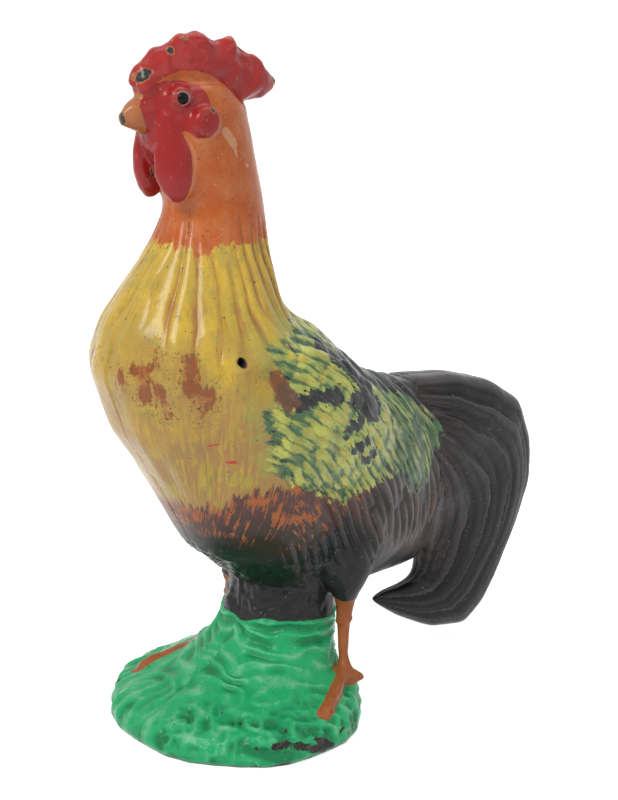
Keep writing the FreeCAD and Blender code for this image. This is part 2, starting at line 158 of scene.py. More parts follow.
def near_line(points: Array, line: Sequence[Sequence[float]]) -> Array:
    """Distance from each point to a line of straight runs, in two or three dimensions.

    Args:
        points: places, one row each.
        line: the corners of the line.

    Returns:
        One distance for each point.
    """
    best = np.full(len(points), 1e9)
    corners = np.array(line, float)
    for start, end in zip(corners[:-1], corners[1:]):
        run = end - start
        along = np.clip((points - start) @ run / max(run @ run, 1e-9), 0.0, 1.0)
        best = np.minimum(best, np.linalg.norm(points - start - along[:, None] * run, axis=1))
    return best


def inside_outline(points: Array, outline: Sequence[Sequence[float]]) -> Array:
    """Signed distance to a closed flat outline, positive inside it.

    Args:
        points: flat places, one row each.
        outline: corners of the outline in order.

    Returns:
        One distance for each point.
    """
    corners = np.array(outline, float)
    inside = np.zeros(len(points), bool)
    for a, b in zip(corners, np.roll(corners, -1, axis=0)):
        if a[1] == b[1]:
            continue
        crosses = (a[1] > points[:, 1]) != (b[1] > points[:, 1])
        inside ^= crosses & (points[:, 0] < (b[0] - a[0]) * (points[:, 1] - a[1]) / (b[1] - a[1]) + a[0])
    gap = near_line(points, [*outline, outline[0]])
    return np.where(inside, gap, -gap)


@dataclass(frozen=True)
class PaintPlan:
    """Where each colour goes, in millimetres.

    Outlines and lines are seen from the side: (y, z), or (z, y) for the tail's edge, the beak's root and
    the wattles' back. Each wattle row is a height, a middle y, a half width and a half thickness.
    """

    wing: tuple = ((-47, 184), (-56, 179), (-73, 177), (-69, 166), (-65, 153), (-79, 154), (-76, 144),
                   (-73, 135), (-72, 126), (-62, 118), (-48, 111), (-33, 104), (-22, 106), (-9, 108),
                   (1, 109), (9, 100), (20, 93), (33, 95), (38, 104), (46, 106), (47, 118), (42, 124),
                   (35, 131), (43, 138), (20, 146), (8, 152), (-12, 163), (-22, 171), (-30, 178))
    gaps: tuple = ((((-61, 154), (-52, 156), (-40, 153)), 3.2), (((-37, 170), (-25, 158), (-17, 142)), 4.6),
                   (((-28, 148), (-18, 142)), 5.0), (((-34, 137), (-27, 139)), 2.8),
                   (((-30, 128), (-22, 130)), 2.4), (((-22, 120), (-16, 122)), 2.2),
                   (((-14, 164), (6, 151), (24, 143), (40, 134)), 6.5))
    wattle_back: tuple = ((231, 0.0), (234, -1.4), (236, -2.8), (238, -3.8), (240.5, -4.6), (247, -5.4),
                          (253.7, -4.9), (258, -3.2), (262, -1.6), (268, -1.0))
    face: tuple = ((-106, 275), (-101, 279.5), (-94, 281.5), (-86.5, 281.2), (-80.3, 279.2), (-77.8, 275),
                   (-77.6, 271), (-76.8, 267), (-77.4, 262.5), (-81, 259.4), (-86, 259.4), (-89.5, 262.5),
                   (-92, 262), (-94, 256), (-103, 256), (-104, 264), (-105, 270))
    comb_foot: tuple = ((-110, 276), (-103.5, 277.5), (-100.5, 279.5), (-93.5, 283), (-86.5, 284.8),
                        (-79.5, 284.5), (-71, 281.8), (-65, 277.4), (-59.7, 271), (-45, 264), (-30, 262))
    beak_root: tuple = ((255, -101), (262.7, -101.4), (267.7, -103.8), (272, -104.8), (276, -101.9),
                        (279, -104.5), (290, -115))
    tail_edge: tuple = ((0, 12), (37, 12), (41, 50), (51, 53), (82, 45), (106, 43), (116, 47), (124, 43),
                        (131, 38), (139, 42), (146, 24), (160, 22))
    belly_line: tuple = ((-125, 106), (-93, 107), (-88, 109), (-84, 108), (-80, 116), (-66, 117), (-57, 118),
                         (-20, 108), (20, 94), (60, 94))
    dark_line: tuple = ((-120, 91), (-77, 87), (-69, 81), (-53, 77), (-45, 80), (-38, 86), (-29, 96),
                        (-10, 78), (10, 62), (40, 52), (60, 50))
    grass_line: tuple = ((-70, 45), (-57, 45.5), (-46, 47), (-30, 44.5), (-8, 45), (10, 45))
    legs: dict = field(default_factory=lambda: {
        Side.LEFT: (((31, -19.8, 60), 7.4), ((31, -21.6, 45), 6.6), ((33.3, -23.8, 28.5), 5.2),
                    ((37, -25, 20), 5.2)),
        Side.RIGHT: (((-23.7, -39.2, 60), 7.4), ((-23.7, -41.2, 45), 6.6), ((-24.4, -46.6, 30), 5.2),
                     ((-25.2, -54, 23), 5.2))})
    toes: dict = field(default_factory=lambda: {
        Side.LEFT: (((36, -24, 25), (39, -29, 20), (44, -38, 17.5), (50, -47, 15), (51, -50, 14)),
                    ((37, -26, 20), (38.5, -22, 19.5), (40, -17, 18.5))),
        Side.RIGHT: (((-24.5, -52, 27), (-26, -59, 24), (-30, -70, 20), (-35.5, -81, 16.5), (-37, -85, 15)),
                     ((-24.5, -54, 25), (-20.7, -61, 23), (-17, -70, 20)),
                     ((-25, -55, 22), (-26.6, -48, 20.5), (-28, -44, 20)),
                     ((-27, -46, 31), (-28.5, -52, 27), (-28, -59, 24)))})
    stains: tuple = (((18, -117, 170), (19, -116, 160), 3.4), ((9, -121, 168), (11, -119, 163), 2.0),
                     ((21, -112, 177), (22, -112, 173), 1.8), ((32, -104, 175), (34, -104.5, 166), 3.4),
                     ((35, -104, 164), (38, -100, 160), 4.2), ((36, -103, 158), (37, -101, 152), 2.0),
                     ((45.6, -71, 165), (47.5, -65.5, 155), 4.2), ((24, -114, 164), (26, -110, 154), 2.4),
                     ((-16, -118, 172), (-18, -116, 162), 3.2), ((-33, -104, 168), (-36, -101, 158), 3.6),
                     ((-45.6, -71, 166), (-48, -66, 157), 3.2), ((-25, -110, 180), (-26, -110, 174), 2.0))
    flecks: tuple = (((33.5, -96, 139.5), (36.5, -92.5, 140), 0.5),
                     ((35.5, -89.5, 131), (38, -86, 131.5), 0.9), ((-38, -84, 133), (-36.5, -88, 132), 0.7))
    pale: tuple = (((17.2, -72.6, 261), (17.8, -69.5, 256), 2.0),
                   ((17.6, -68.5, 253), (17.6, -68, 251), 0.8),
                   ((17.4, -62.4, 246.8), (17.4, -62.2, 246.6), 0.9),
                   ((-17, -66, 240), (-17.5, -68, 236), 1.6))
    chips: tuple = (((2.0, -104.4, 283.2), (5.6, -100.6, 285.8), 2.3),
                    ((3.0, -89.3, 292.4), (3.6, -88.4, 293), 0.9),
                    ((3.3, -82.6, 296.8), (3.9, -81.4, 297), 0.8),
                    ((18.7, -80, 270), (18.6, -79.4, 271), 0.9),
                    ((45, -87.6, 12.4), (47, -86.6, 11.4), 1.0), ((49.4, -85.7, 9), (49.8, -85.2, 8.4), 1.0),
                    ((52.6, -79, 8.6), (56, -73, 9.8), 1.7), ((57.6, -70.6, 9), (58.6, -66, 6.2), 1.6),
                    ((60, -66, 7.0), (59.6, -56, 3), 2.1), ((59, -60, 9), (58, -52, 3), 1.8),
                    ((50, -82, 2), (56, -74, 1), 1.6), ((51, -72.6, 13.9), (50.8, -70.8, 13.5), 0.7),
                    ((58, -46, 7.5), (57.4, -44, 9), 0.8), ((-4.4, -94.4, 246), (-4.6, -93.4, 243), 0.6),
                    ((12.4, -98.4, 250.4), (12.8, -98, 246), 0.55), ((1, -111.5, 270), (1.4, -111, 266), 1.3),
                    ((-57, -70, 8), (-58.5, -63, 6), 2.0), ((-40, -94, 10), (-44, -90, 8), 1.3),
                    ((-30, -8, 6), (-22, -5, 5), 1.6), ((22, -5, 7), (27, -7, 8), 1.2),
                    ((-4, -75, 297), (-4.6, -73, 296.6), 0.9), ((-2, 118, 84), (-1, 120, 92), 0.8),
                    ((-52, -72, 14), (-50, -74, 14.6), 0.9))
    cracks: tuple = (((9.2, -84.8, 231), (9.6, -86, 226), (11.2, -87.8, 220)),
                     ((5.2, -91.4, 222), (5, -94.4, 214), (3.4, -97, 206)),
                     ((12.4, -91, 213), (14, -94, 205), (14.6, -96, 200)),
                     ((-8, -88, 224), (-9.5, -91, 214), (-11, -95, 204)))
    wattles: tuple = ((230, -90.6, 2.0, 1.2), (234, -90.6, 3.2, 1.8), (238.5, -90.9, 6.6, 3.8),
                      (244.5, -91.0, 9.4, 4.6), (252.6, -91.0, 9.9, 4.4), (261, -91.4, 7.4, 3.6),
                      (269, -92.9, 4.8, 2.8))
    wattle_turn: float = 22.0
    wattle_x: float = 9.5
    comb_back: float = -28.0
    chin: float = 255.0
    brow: tuple = (256, 283)
    cheek: float = -98.0
    hackle: float = 216.0
    hackle_dip: float = 3.5
    rear: float = -22.0
    saddle: float = -5.0
    leg_top: float = 54.5
    toe_half: float = 3.4
    mound_back: float = 10.0
    spot_floor: float = -9.0
    green_line: tuple = ((12, -64, 70), (24, -52, 70))
    green_half: float = 9.0
    screw_axis: tuple = (-85.5, 173.7)
    bore_half: float = 2.6
    bore_rim: float = 4.5
    hole_halves: tuple = (2.05, 3.5)

    def follow(self, word: str, value: Array) -> Array:
        """Read one of the plan's lines.

        Args:
            word: the line's name.
            value: places along its first coordinate.

        Returns:
            The line's second coordinate at each place.
        """
        return np.interp(value, *np.array(getattr(self, word)).T)

    def from_screw(self, points: Array) -> Array:
        """Distance of each point from the screw's axis."""
        return np.hypot(points[:, 1] - self.screw_axis[0], points[:, 2] - self.screw_axis[1])


@dataclass
class Skin:
    """The fused casting as arrays: its points in millimetres, its edges and what is painted on it."""

    points: Array
    edges: Array
    outside: Array = field(default_factory=lambda: np.zeros(0, bool))
    marks: dict = field(default_factory=dict)

    def spread(self, values: Array) -> Array:
        """The mean of each point's neighbours.

        Args:
            values: one row for each point.

        Returns:
            Rows of the same shape.
        """
        a, b = self.edges[:, 0], self.edges[:, 1]
        count = len(self.points)
        many = np.bincount(a, minlength=count) + np.bincount(b, minlength=count)
        total = np.stack([
            np.bincount(a, weights=values[b, k], minlength=count)
            + np.bincount(b, weights=values[a, k], minlength=count)
            for k in range(values.shape[1])], axis=1)
        return total / np.maximum(many, 1)[:, None]

    def relax(self, values: Array, strength: Array, rounds: int) -> Array:
        """Smooth rows of values over the surface.

        Args:
            values: one row for each point.
            strength: how much each point moves to its neighbours' mean, 0 to 1.
            rounds: how many times.

        Returns:
            The smoothed rows.
        """
        for _ in range(rounds):
            values = values + strength[:, None] * (self.spread(values) - values)
        return values

    def find_outside(self, plan: PaintPlan) -> None:
        """Tell the painted outside from the bare hollow, starting at the comb.

        Args:
            plan: gives the screw's bore, which joins the two.
        """
        z = self.points[:, 2]
        free = ~((plan.from_screw(self.points) < plan.bore_half) | (z < 1.0))
        reached = np.zeros(len(self.points), bool)
        reached[np.argmax(np.where(free, z, -1))] = True
        edges = self.edges[free[self.edges].all(axis=1)]
        while len(edges):
            ends = reached[edges]
            crossing = edges[ends[:, 0] != ends[:, 1]]
            if not len(crossing):
                break
            reached[crossing] = True
            edges = edges[~reached[edges].all(axis=1)]
        self.outside = reached


@dataclass
class TailLines:
    """The long curves that the tail feathers follow, from the tail's root to its hooked tip."""

    outer: tuple = ((9, 141), (40, 140), (70, 136), (94, 129), (114, 116), (122, 97), (123, 76), (117, 54),
                    (106, 33), (95, 14), (83, 4), (61, 7), (40, 18), (23, 29))
    inner: tuple = ((24, 118), (36, 104), (43, 90), (47, 76), (50, 64), (51, 56), (51, 50), (51, 45),
                    (51, 42), (51, 40), (48, 37), (40, 36), (31, 35), (22, 34))
    step: float = 17.0

    def measure(self, y: Array, z: Array) -> tuple[Array, Array]:
        """How far along the tail and how far out across it each place lies.

        Args:
            y: places along the bird in millimetres.
            z: heights in millimetres.

        Returns:
            Millimetres along the tail, and the share from its inner to its outer edge.
        """
        inner, outer = np.array(self.inner, float), np.array(self.outer, float)
        place = rows(y, z)
        across = outer - inner
        normal = rows(across[:, 1], -across[:, 0])
        normal /= np.linalg.norm(normal, axis=1, keepdims=True)
        reach = np.stack([(place - a) @ n for a, n in zip(inner, normal)], axis=1)
        middle = (inner[:-1] + inner[1:] + outer[:-1] + outer[1:]) / 4.0
        away = np.stack([np.linalg.norm(place - m, axis=1) for m in middle], axis=1)
        away += np.where((reach[:, :-1] >= 0) & (reach[:, 1:] < 0), 0.0, 1000.0)
        first = np.argmin(away, axis=1)
        pick = np.arange(len(place))
        near, far = reach[pick, first], reach[pick, first + 1]
        part = np.clip(near / np.where(np.abs(near - far) < 1e-6, 1.0, near - far), 0.0, 1.0)
        low = inner[first] + part[:, None] * (inner[first + 1] - inner[first])
        high = outer[first] + part[:, None] * (outer[first + 1] - outer[first])
        run = high - low
        share = ((place - low) * run).sum(axis=1) / (run * run).sum(axis=1)
        return (first + part) * self.step, share


@dataclass
class Relief:
    """Sizes of the carving and where each part of the bird lies, in millimetres."""

    plan: PaintPlan
    tail: TailLines
    neck_y: float = -72.0
    fan_y: float = -137.0
    fan_z: float = 31.5
    mound_y: float = -35.0
    flute_depth: float = 1.1
    barb_depth: float = 1.5
    barb_width: float = 4.2
    covert_length: float = 13.0
    flight_length: float = 26.0
    rib_depth: float = 2.3
    rib_length: float = 60.0
    rib_width: float = 4.6
    lap_depth: float = 2.8
    laps: float = 5.2
    grass_depth: float = 1.2
    blade_pitch: float = 5.6
    ray_pitch: float = 6.0
    lump_depth: float = 1.25
    shank_cut: float = 1.2

    def regions(self, skin: Skin) -> None:
        """Mark where each part of the bird lies, in millimetres, positive inside.

        Args:
            skin: the skin that gets the marks.
        """
        x, y, z = skin.points.T
        plan, marks = self.plan, skin.marks
        side_view = rows(y, z)
        marks["wing"] = inside_outline(side_view, plan.wing)
        marks["gap"] = np.max([half - near_line(side_view, line) for line, half in plan.gaps], axis=0)
        marks["comb"] = np.where(y < plan.comb_back, z - plan.follow("comb_foot", y), OFF)
        beak = (z > plan.chin) & (marks["comb"] < 0)
        marks["beak"] = np.where(beak, plan.follow("beak_root", z) - y, OFF)
        face = inside_outline(side_view, plan.face)
        face = np.where(np.abs(x) > 1.0, face, np.minimum(face, -0.5))
        low, high = plan.brow
        face = np.where(y < plan.cheek, np.maximum(face, np.minimum(z - low, high - z)), face)
        marks["face"] = np.maximum(face, self.wattle(skin.points))
        marks["tail"] = y - plan.follow("tail_edge", z)
        marks["belly"] = plan.follow("belly_line", y) - z
        marks["dark"] = plan.follow("dark_line", y) - z
        ripple = 1.6 * Grain.soft(rows(x, y, 0 * z), 9.0, 71)
        marks["grass"] = np.where(y < plan.mound_back, plan.follow("grass_line", y) + ripple - z, OFF)
        marks["leg"] = self.leg(skin.points)
        turn = marks["turn"] = np.arctan2(x, self.neck_y - y)
        dip = plan.hackle_dip * bell(np.abs(turn) - 0.92, 0.22)
        marks["hackle"] = np.where(y < 0, plan.hackle - dip - z, -OFF)
        marks["rear"] = y - plan.rear
        marks["saddle"] = y - plan.saddle

    def wattle(self, points: Array) -> Array:
        """Measure the wattles and the skin between them.

        Args:
            points: places, one row each.

        Returns:
            How far inside a wattle each point lies, in millimetres.
        """
        x, y, z = points.T
        heights, middles, halves, thicks = np.array(self.plan.wattles).T
        turn = math.radians(self.plan.wattle_turn)
        across = np.abs(x) - self.plan.wattle_x
        ahead = np.interp(z, heights, middles) - y
        plate = ahead * math.cos(turn) - across * math.sin(turn)
        flat = ahead * math.sin(turn) + across * math.cos(turn)
        reach = np.hypot(plate / np.interp(z, heights, halves), flat / np.interp(z, heights, thicks))
        sheet = np.minimum((1.3 - reach) * 6.0, plate - self.plan.follow("wattle_back", z))
        between = np.minimum(np.minimum(z - 237, 262 - z), -93.5 - y)
        return np.where((z > 231) & (z < 268), np.maximum(sheet, between), -20.0)

    def leg(self, points: Array) -> Array:
        """Measure the shanks and toes.

        Args:
            points: places, one row each.

        Returns:
            How far inside a shank or toe each point lies, in millimetres.
        """
        best = np.full(len(points), OFF)
        for side in Side:
            for (start, wide), (end, narrow) in zip(self.plan.legs[side], self.plan.legs[side][1:]):
                half = np.interp(points[:, 2], (end[2], start[2]), (narrow, wide))
                best = np.maximum(best, half - near_line(points, (start, end)))
            for line in self.plan.toes[side]:
                best = np.maximum(best, self.plan.toe_half - near_line(points, line))
        return np.where(points[:, 2] < self.plan.leg_top, best, OFF)

    def softness(self, skin: Skin) -> Array:
        """Say how freely each point may be smoothed: least where the parts are small.

        Args:
            skin: the skin with its regions.

        Returns:
            A strength from 0 to 1 for each point.
        """
        _, y, z = skin.points.T
        marks = skin.marks
        strength = np.full(len(z), 0.85)
        for where, value in (((z > 255) & (y < -60), 0.15), (marks["comb"] > -1.0, 0.11),
                             (marks["face"] > -2.5, 0.11), (marks["beak"] > 0, 0.10),
                             (marks["leg"] > -1.6, 0.20 + 0.175 * ease(32, 38, z)), (z < 3.0, 0.075),
                             (self.plan.from_screw(skin.points) < 6.5, 0.02)):
            strength = np.where(where, value, strength)
        return strength

    def flow(self, skin: Skin) -> Array:
        """Lay coordinates along and across the feathers and the grass.

        Args:
            skin: the skin with its regions.

        Returns:
            Millimetres along and across, and a number for the side, one row for each point.
        """
        x, y, z = skin.points.T
        marks = skin.marks
        swing = np.arctan2(z - self.fan_z, y - self.fan_y)
        reach = np.hypot(y - self.fan_y, z - self.fan_z)
        along, across = -z, marks["turn"] * 38.0
        tail_along, tail_across = self.tail.measure(y, z)
        around = np.arctan2(x, self.mound_y - y)
        rear = (marks["wing"] > -2.0) | ((y > -58) & (marks["grass"] < 0))
        for where, lengthways, crossways in (
                (rear, -swing * 150.0, reach), (marks["tail"] > 0, tail_along, tail_across * 60.0),
                (marks["grass"] > 0, around * 44.0, z * 1.3)):
            along, across = np.where(where, lengthways, along), np.where(where, crossways, across)
        return rows(along, across, np.where(x < 0, 300.0, 0.0))


class Carver:
    """One pass of carving over the smoothed skin, which keeps what its steps share."""

    def __init__(self, sizes: Relief, skin: Skin, normals: Array, flow: Array) -> None:
        """Work out the wandering of the lines and how far the main parts reach.

        Args:
            sizes: the sizes of the carving.
            skin: the smoothed skin with its regions.
            normals: the outward direction at each point.
            flow: coordinates along and across the feathers.
        """
        self.sizes, self.skin, self.normals = sizes, skin, normals
        self.along, self.across = flow[:, 0], flow[:, 1]
        self.x, self.y, self.z = skin.points.T
        self.seeded = skin.points + np.where(self.x < 0, 500.0, 0.0)[:, None]
        self.wander = Grain.soft(self.seeded, 16.0, 3)
        marks = skin.marks
        self.tail = ease(-0.6, 1.0, marks["tail"])
        self.body = (1.0 - self.tail) * ease(-1.0, 1.5, -marks["grass"])
        for word in ("face", "comb", "beak"):
            self.body = self.body * ease(0.0, 1.5, -marks[word])
        self.wing = ease(-1.5, 1.5, marks["wing"]) * self.body

    @staticmethod
    def barbs(along: Array, across: Array, length: float, pitch: float, seed: int) -> Array:
        """Rows of overlapping feather tips.

        Args:
            along: millimetres along the feathers.
            across: millimetres across them.
            length: length of one tip.
            pitch: width of one tip.
            seed: picks one pattern.

        Returns:
            Height from 0 in the grooves to 1 on the tips.
        """
        row = np.floor(across / pitch)
        part = across / pitch - row
        zero = np.zeros_like(row)
        start = along / length + Grain.cells(rows(row, zero, zero).astype(np.int64), seed) * 3.0
        share = start - np.floor(start)
        size = 0.55 + 0.45 * Grain.cells(rows(row, np.floor(start), zero).astype(np.int64), seed + 7)
        return (1.0 - np.abs(2.0 * part - 1.0) ** 2.2) * np.sin(np.pi * share ** 0.7) ** 0.6 * size

    def drawn(self, across: Array, down: Array, seed: int) -> Array:
        """Noise drawn out down the neck and breast, apart for the two sides.

        Args:
            across: place round the neck, in cells.
            down: place along it, in cells.
            seed: picks one pattern.

        Returns:
            One value from -1 to 1 for each point.
        """
        return Grain.soft(rows(across, down, np.sign(self.x) * 9), 1.0, seed)

    def flutes(self) -> tuple[Array, Array]:
        """Long flutes of the neck feathers.

        Returns:
            Height and crest.
        """
        z, turn, depth = self.z, self.skin.marks["turn"], self.sizes.flute_depth
        ends = self.drawn(turn * 7.0, 0 * z, 11)
        lift = ease(230, 214, z + 7.0 * ends) * ease(166, 192, z + 12.0 * ends) * (1.0 - self.wing)
        wave = np.sin(turn * 11.0 + 0.35 * turn ** 3 + 1.6 * self.wander)
        deep = 0.3 + 0.7 * ease(-0.25, 0.5, self.drawn(turn * 2.2, z / 60.0, 12))
        height = -depth * (1.0 - np.abs(wave) ** 0.7) * 1.5 * lift * self.body * deep
        return height, height / depth * 0.5 * (lift > 0.05)

    def feathers(self) -> tuple[Array, Array]:
        """Short feathers on the shoulder and long ones behind.

        Returns:
            Height and crest.
        """
        sizes, wander, jitter = self.sizes, self.wander, Grain.soft(self.seeded, 5.5, 4)
        along = self.along + 2 * wander
        coverts = self.barbs(along + 2.5 * jitter, self.across + 1.6 * wander + 1.3 * jitter,
                             sizes.covert_length, sizes.barb_width, 21)
        flights = self.barbs(along + 3.0 * jitter, self.across + 2.2 * wander + 1.1 * jitter,
                             sizes.flight_length, sizes.barb_width, 22)
        shoulder = ease(-30, -42, self.y) * ease(138, 150, self.z)
        tips = shoulder * coverts + (1.0 - shoulder) * flights
        return sizes.barb_depth * (tips - 0.45) * self.wing, 0.5 * (tips - 0.5) * self.wing

    def ribs(self) -> tuple[Array, Array]:
        """Long ribs of the flank feathers.

        Returns:
            Height and crest.
        """
        y, z, sizes = self.y, self.z, self.sizes
        flank = ease(-62, -40, y) * ease(66, 80, z) * ease(150, 132, z) * (1.0 - self.wing) * self.body
        across = self.across + 1.2 * self.wander
        vanes = self.barbs(self.along, across, sizes.rib_length, sizes.rib_width, 23) - 0.5
        return sizes.rib_depth * vanes * flank, 0.6 * vanes * flank

    def tail_laps(self) -> tuple[Array, Array]:
        """Tail feathers that lap over one another, fading at the top, the edge and the hook.

        Returns:
            Height and crest.
        """
        y, z = self.y, self.z
        along, across = self.sizes.tail.measure(y, z)
        bend = across * self.sizes.laps + 0.35 * Grain.soft(self.seeded, 30.0, 5) + 0.1 * self.wander
        shingle = (bend - np.floor(bend)) ** 1.6 - 0.35
        fine = self.barbs(along, across * 60.0 + 1.2 * self.wander, 600.0, 4.4, 24) - 0.5
        smooth_top = ease(118, 150, z + 0.25 * y) * ease(95, 60, y)
        height = self.sizes.lap_depth * shingle * ease(0.03, 0.2, across) + 0.5 * fine * ease(20, 70, z)
        for fade in (self.tail, 1.0 - 0.8 * smooth_top, ease(8.0, 30.0, np.hypot(y - 22, z - 30)),
                     0.12 + 0.88 * ease(1.0, 0.84, across), ease(2.0, 16.0, z), ease(30.0, 56.0, y),
                     1.0 - 0.6 * ease(130.0, 180.0, along)):
            height = height * fade
        return height, self.tail * (0.8 * shingle + 0.5 * fine)

    def turf(self) -> tuple[Array, Array]:
        """Grass: blades swept round the mound above, clumps and rays below.

        Returns:
            Height and crest.
        """
        x, z, seeded, sizes = self.x, self.z, self.seeded, self.sizes
        ground = ease(0.0, 1.5, self.skin.marks["grass"]) * ease(1.0, -0.5, self.skin.marks["leg"])
        around = np.arctan2(x, sizes.mound_y - self.y)
        drift = 3.2 * Grain.soft(seeded, 11.0, 31)
        swell = 0.45 + 0.55 * ease(-0.4, 0.4, Grain.soft(seeded, 9.0, 32))
        swirl = z * 1.1 + 0.22 * x + 1.7 * drift + 5.0 * Grain.soft(seeded, 26.0, 36)
        blades, rays = (1.0 - 1.5 * np.abs(np.sin(np.pi * value / pitch)) ** 0.9 * swell for value, pitch in (
            (swirl, sizes.blade_pitch), (around * 48.0 + 1.4 * drift, sizes.ray_pitch)))
        clumps = 1.0 - 1.9 * np.abs(Grain.soft(seeded, 6.5, 34)) - 1.1 * np.abs(Grain.soft(seeded, 3.4, 35))
        upper, left = ease(13, 24, z), ease(4.0, 16.0, x)
        forms = upper * blades + (1.0 - upper) * (left * clumps + (1.0 - left) * (0.75 * rays + 0.3 * clumps))
        return ground * sizes.grass_depth * ease(2.0, 8.0, z) * (forms - 0.45), ground * 0.45 * (forms - 0.2)

    def lumps(self) -> tuple[Array, Array]:
        """Lumps of the comb.

        Returns:
            Height and crest.
        """
        comb = ease(0.5, 3.5, self.skin.marks["comb"])
        knobs = Grain.soft(self.seeded, 5.8, 41) + 0.35 * Grain.soft(self.seeded, 3.6, 42)
        return self.sizes.lump_depth * comb * (knobs - 0.1), 0.45 * comb * knobs

    def shaping(self) -> Array:
        """Breast ripples, waist crags, slimmer shanks, the grass lip, wattle edges and a narrower beak.

        Returns:
            Height.
        """
        y, z, marks, turn = self.y, self.z, self.skin.marks, self.skin.marks["turn"]
        front = ease(108, 122, z) * ease(200, 176, z) * (1.0 - self.wing) * self.body
        ripples = 1.1 * self.drawn(turn * 4.5 + 0.012 * (z - 150), z / 70.0, 13) * front
        waist = ease(0.0, 2.0, -marks["grass"]) * ease(0.0, 6.0, marks["dark"]) * ease(-20, -36, y)
        crags = waist * (1.3 * Grain.rough(self.seeded, 5.5, 45) + 0.35 * Grain.soft(self.seeded, 2.4, 46))
        shank = ease(-1.0, 1.2, marks["leg"]) * (0.25 + 0.85 * ease(22, 30, z)) * ease(60, 40, z)
        lip = 0.9 * bell(marks["grass"] - 1.2, 1.1) * (0.7 + 0.3 * self.wander) * ease(-4, -12, y)
        fade = ease(266, 252, z) * ease(229, 235, z) * ease(-103, -99, y)
        sheet = fade * (0.45 * ease(-0.2, 1.6, marks["face"]) - 0.75 * bell(marks["face"] + 1.0, 0.8))
        pinch = 1.2 * ease(0.5, 6.0, marks["beak"]) * (1.0 - np.abs(self.normals[:, 1]))
        return ripples + crags - self.sizes.shank_cut * shank + lip + sheet - pinch

    def casting(self, cracks: Array) -> Array:
        """Roughness of the sand, the parting seam and the cracks.

        Args:
            cracks: distance of each point to the nearest crack.

        Returns:
            Height.
        """
        points = self.skin.points
        sand = 0.09 * Grain.rough(points, 3.0, 51) + 0.16 * Grain.soft(points, 11.0, 54)
        seam = 0.35 * bell(self.x, 0.8) * (0.4 + 0.6 * (Grain.soft(points, 7.0, 61) > -0.2))
        return sand - seam - 0.35 * bell(cracks, 0.8)

    def carve(self) -> Array:
        """Add up the steps and mark crests, cracks and the seam.

        Returns:
            Millimetres along the outward normal for each point.
        """
        cracks = np.min([near_line(self.skin.points, line) for line in self.sizes.plan.cracks], axis=0)
        height, crest = self.shaping() + self.casting(cracks), 0.5
        for step in (self.flutes, self.feathers, self.ribs, self.tail_laps, self.turf, self.lumps):
            rise, tint = step()
            height, crest = height + rise, crest + tint
        self.skin.marks.update(crest=crest, crack=0.9 - cracks, seam=0.8 - np.abs(self.x))
        return np.where(self.skin.outside, height, 0.15 * Grain.rough(self.skin.points, 4.0, 81))


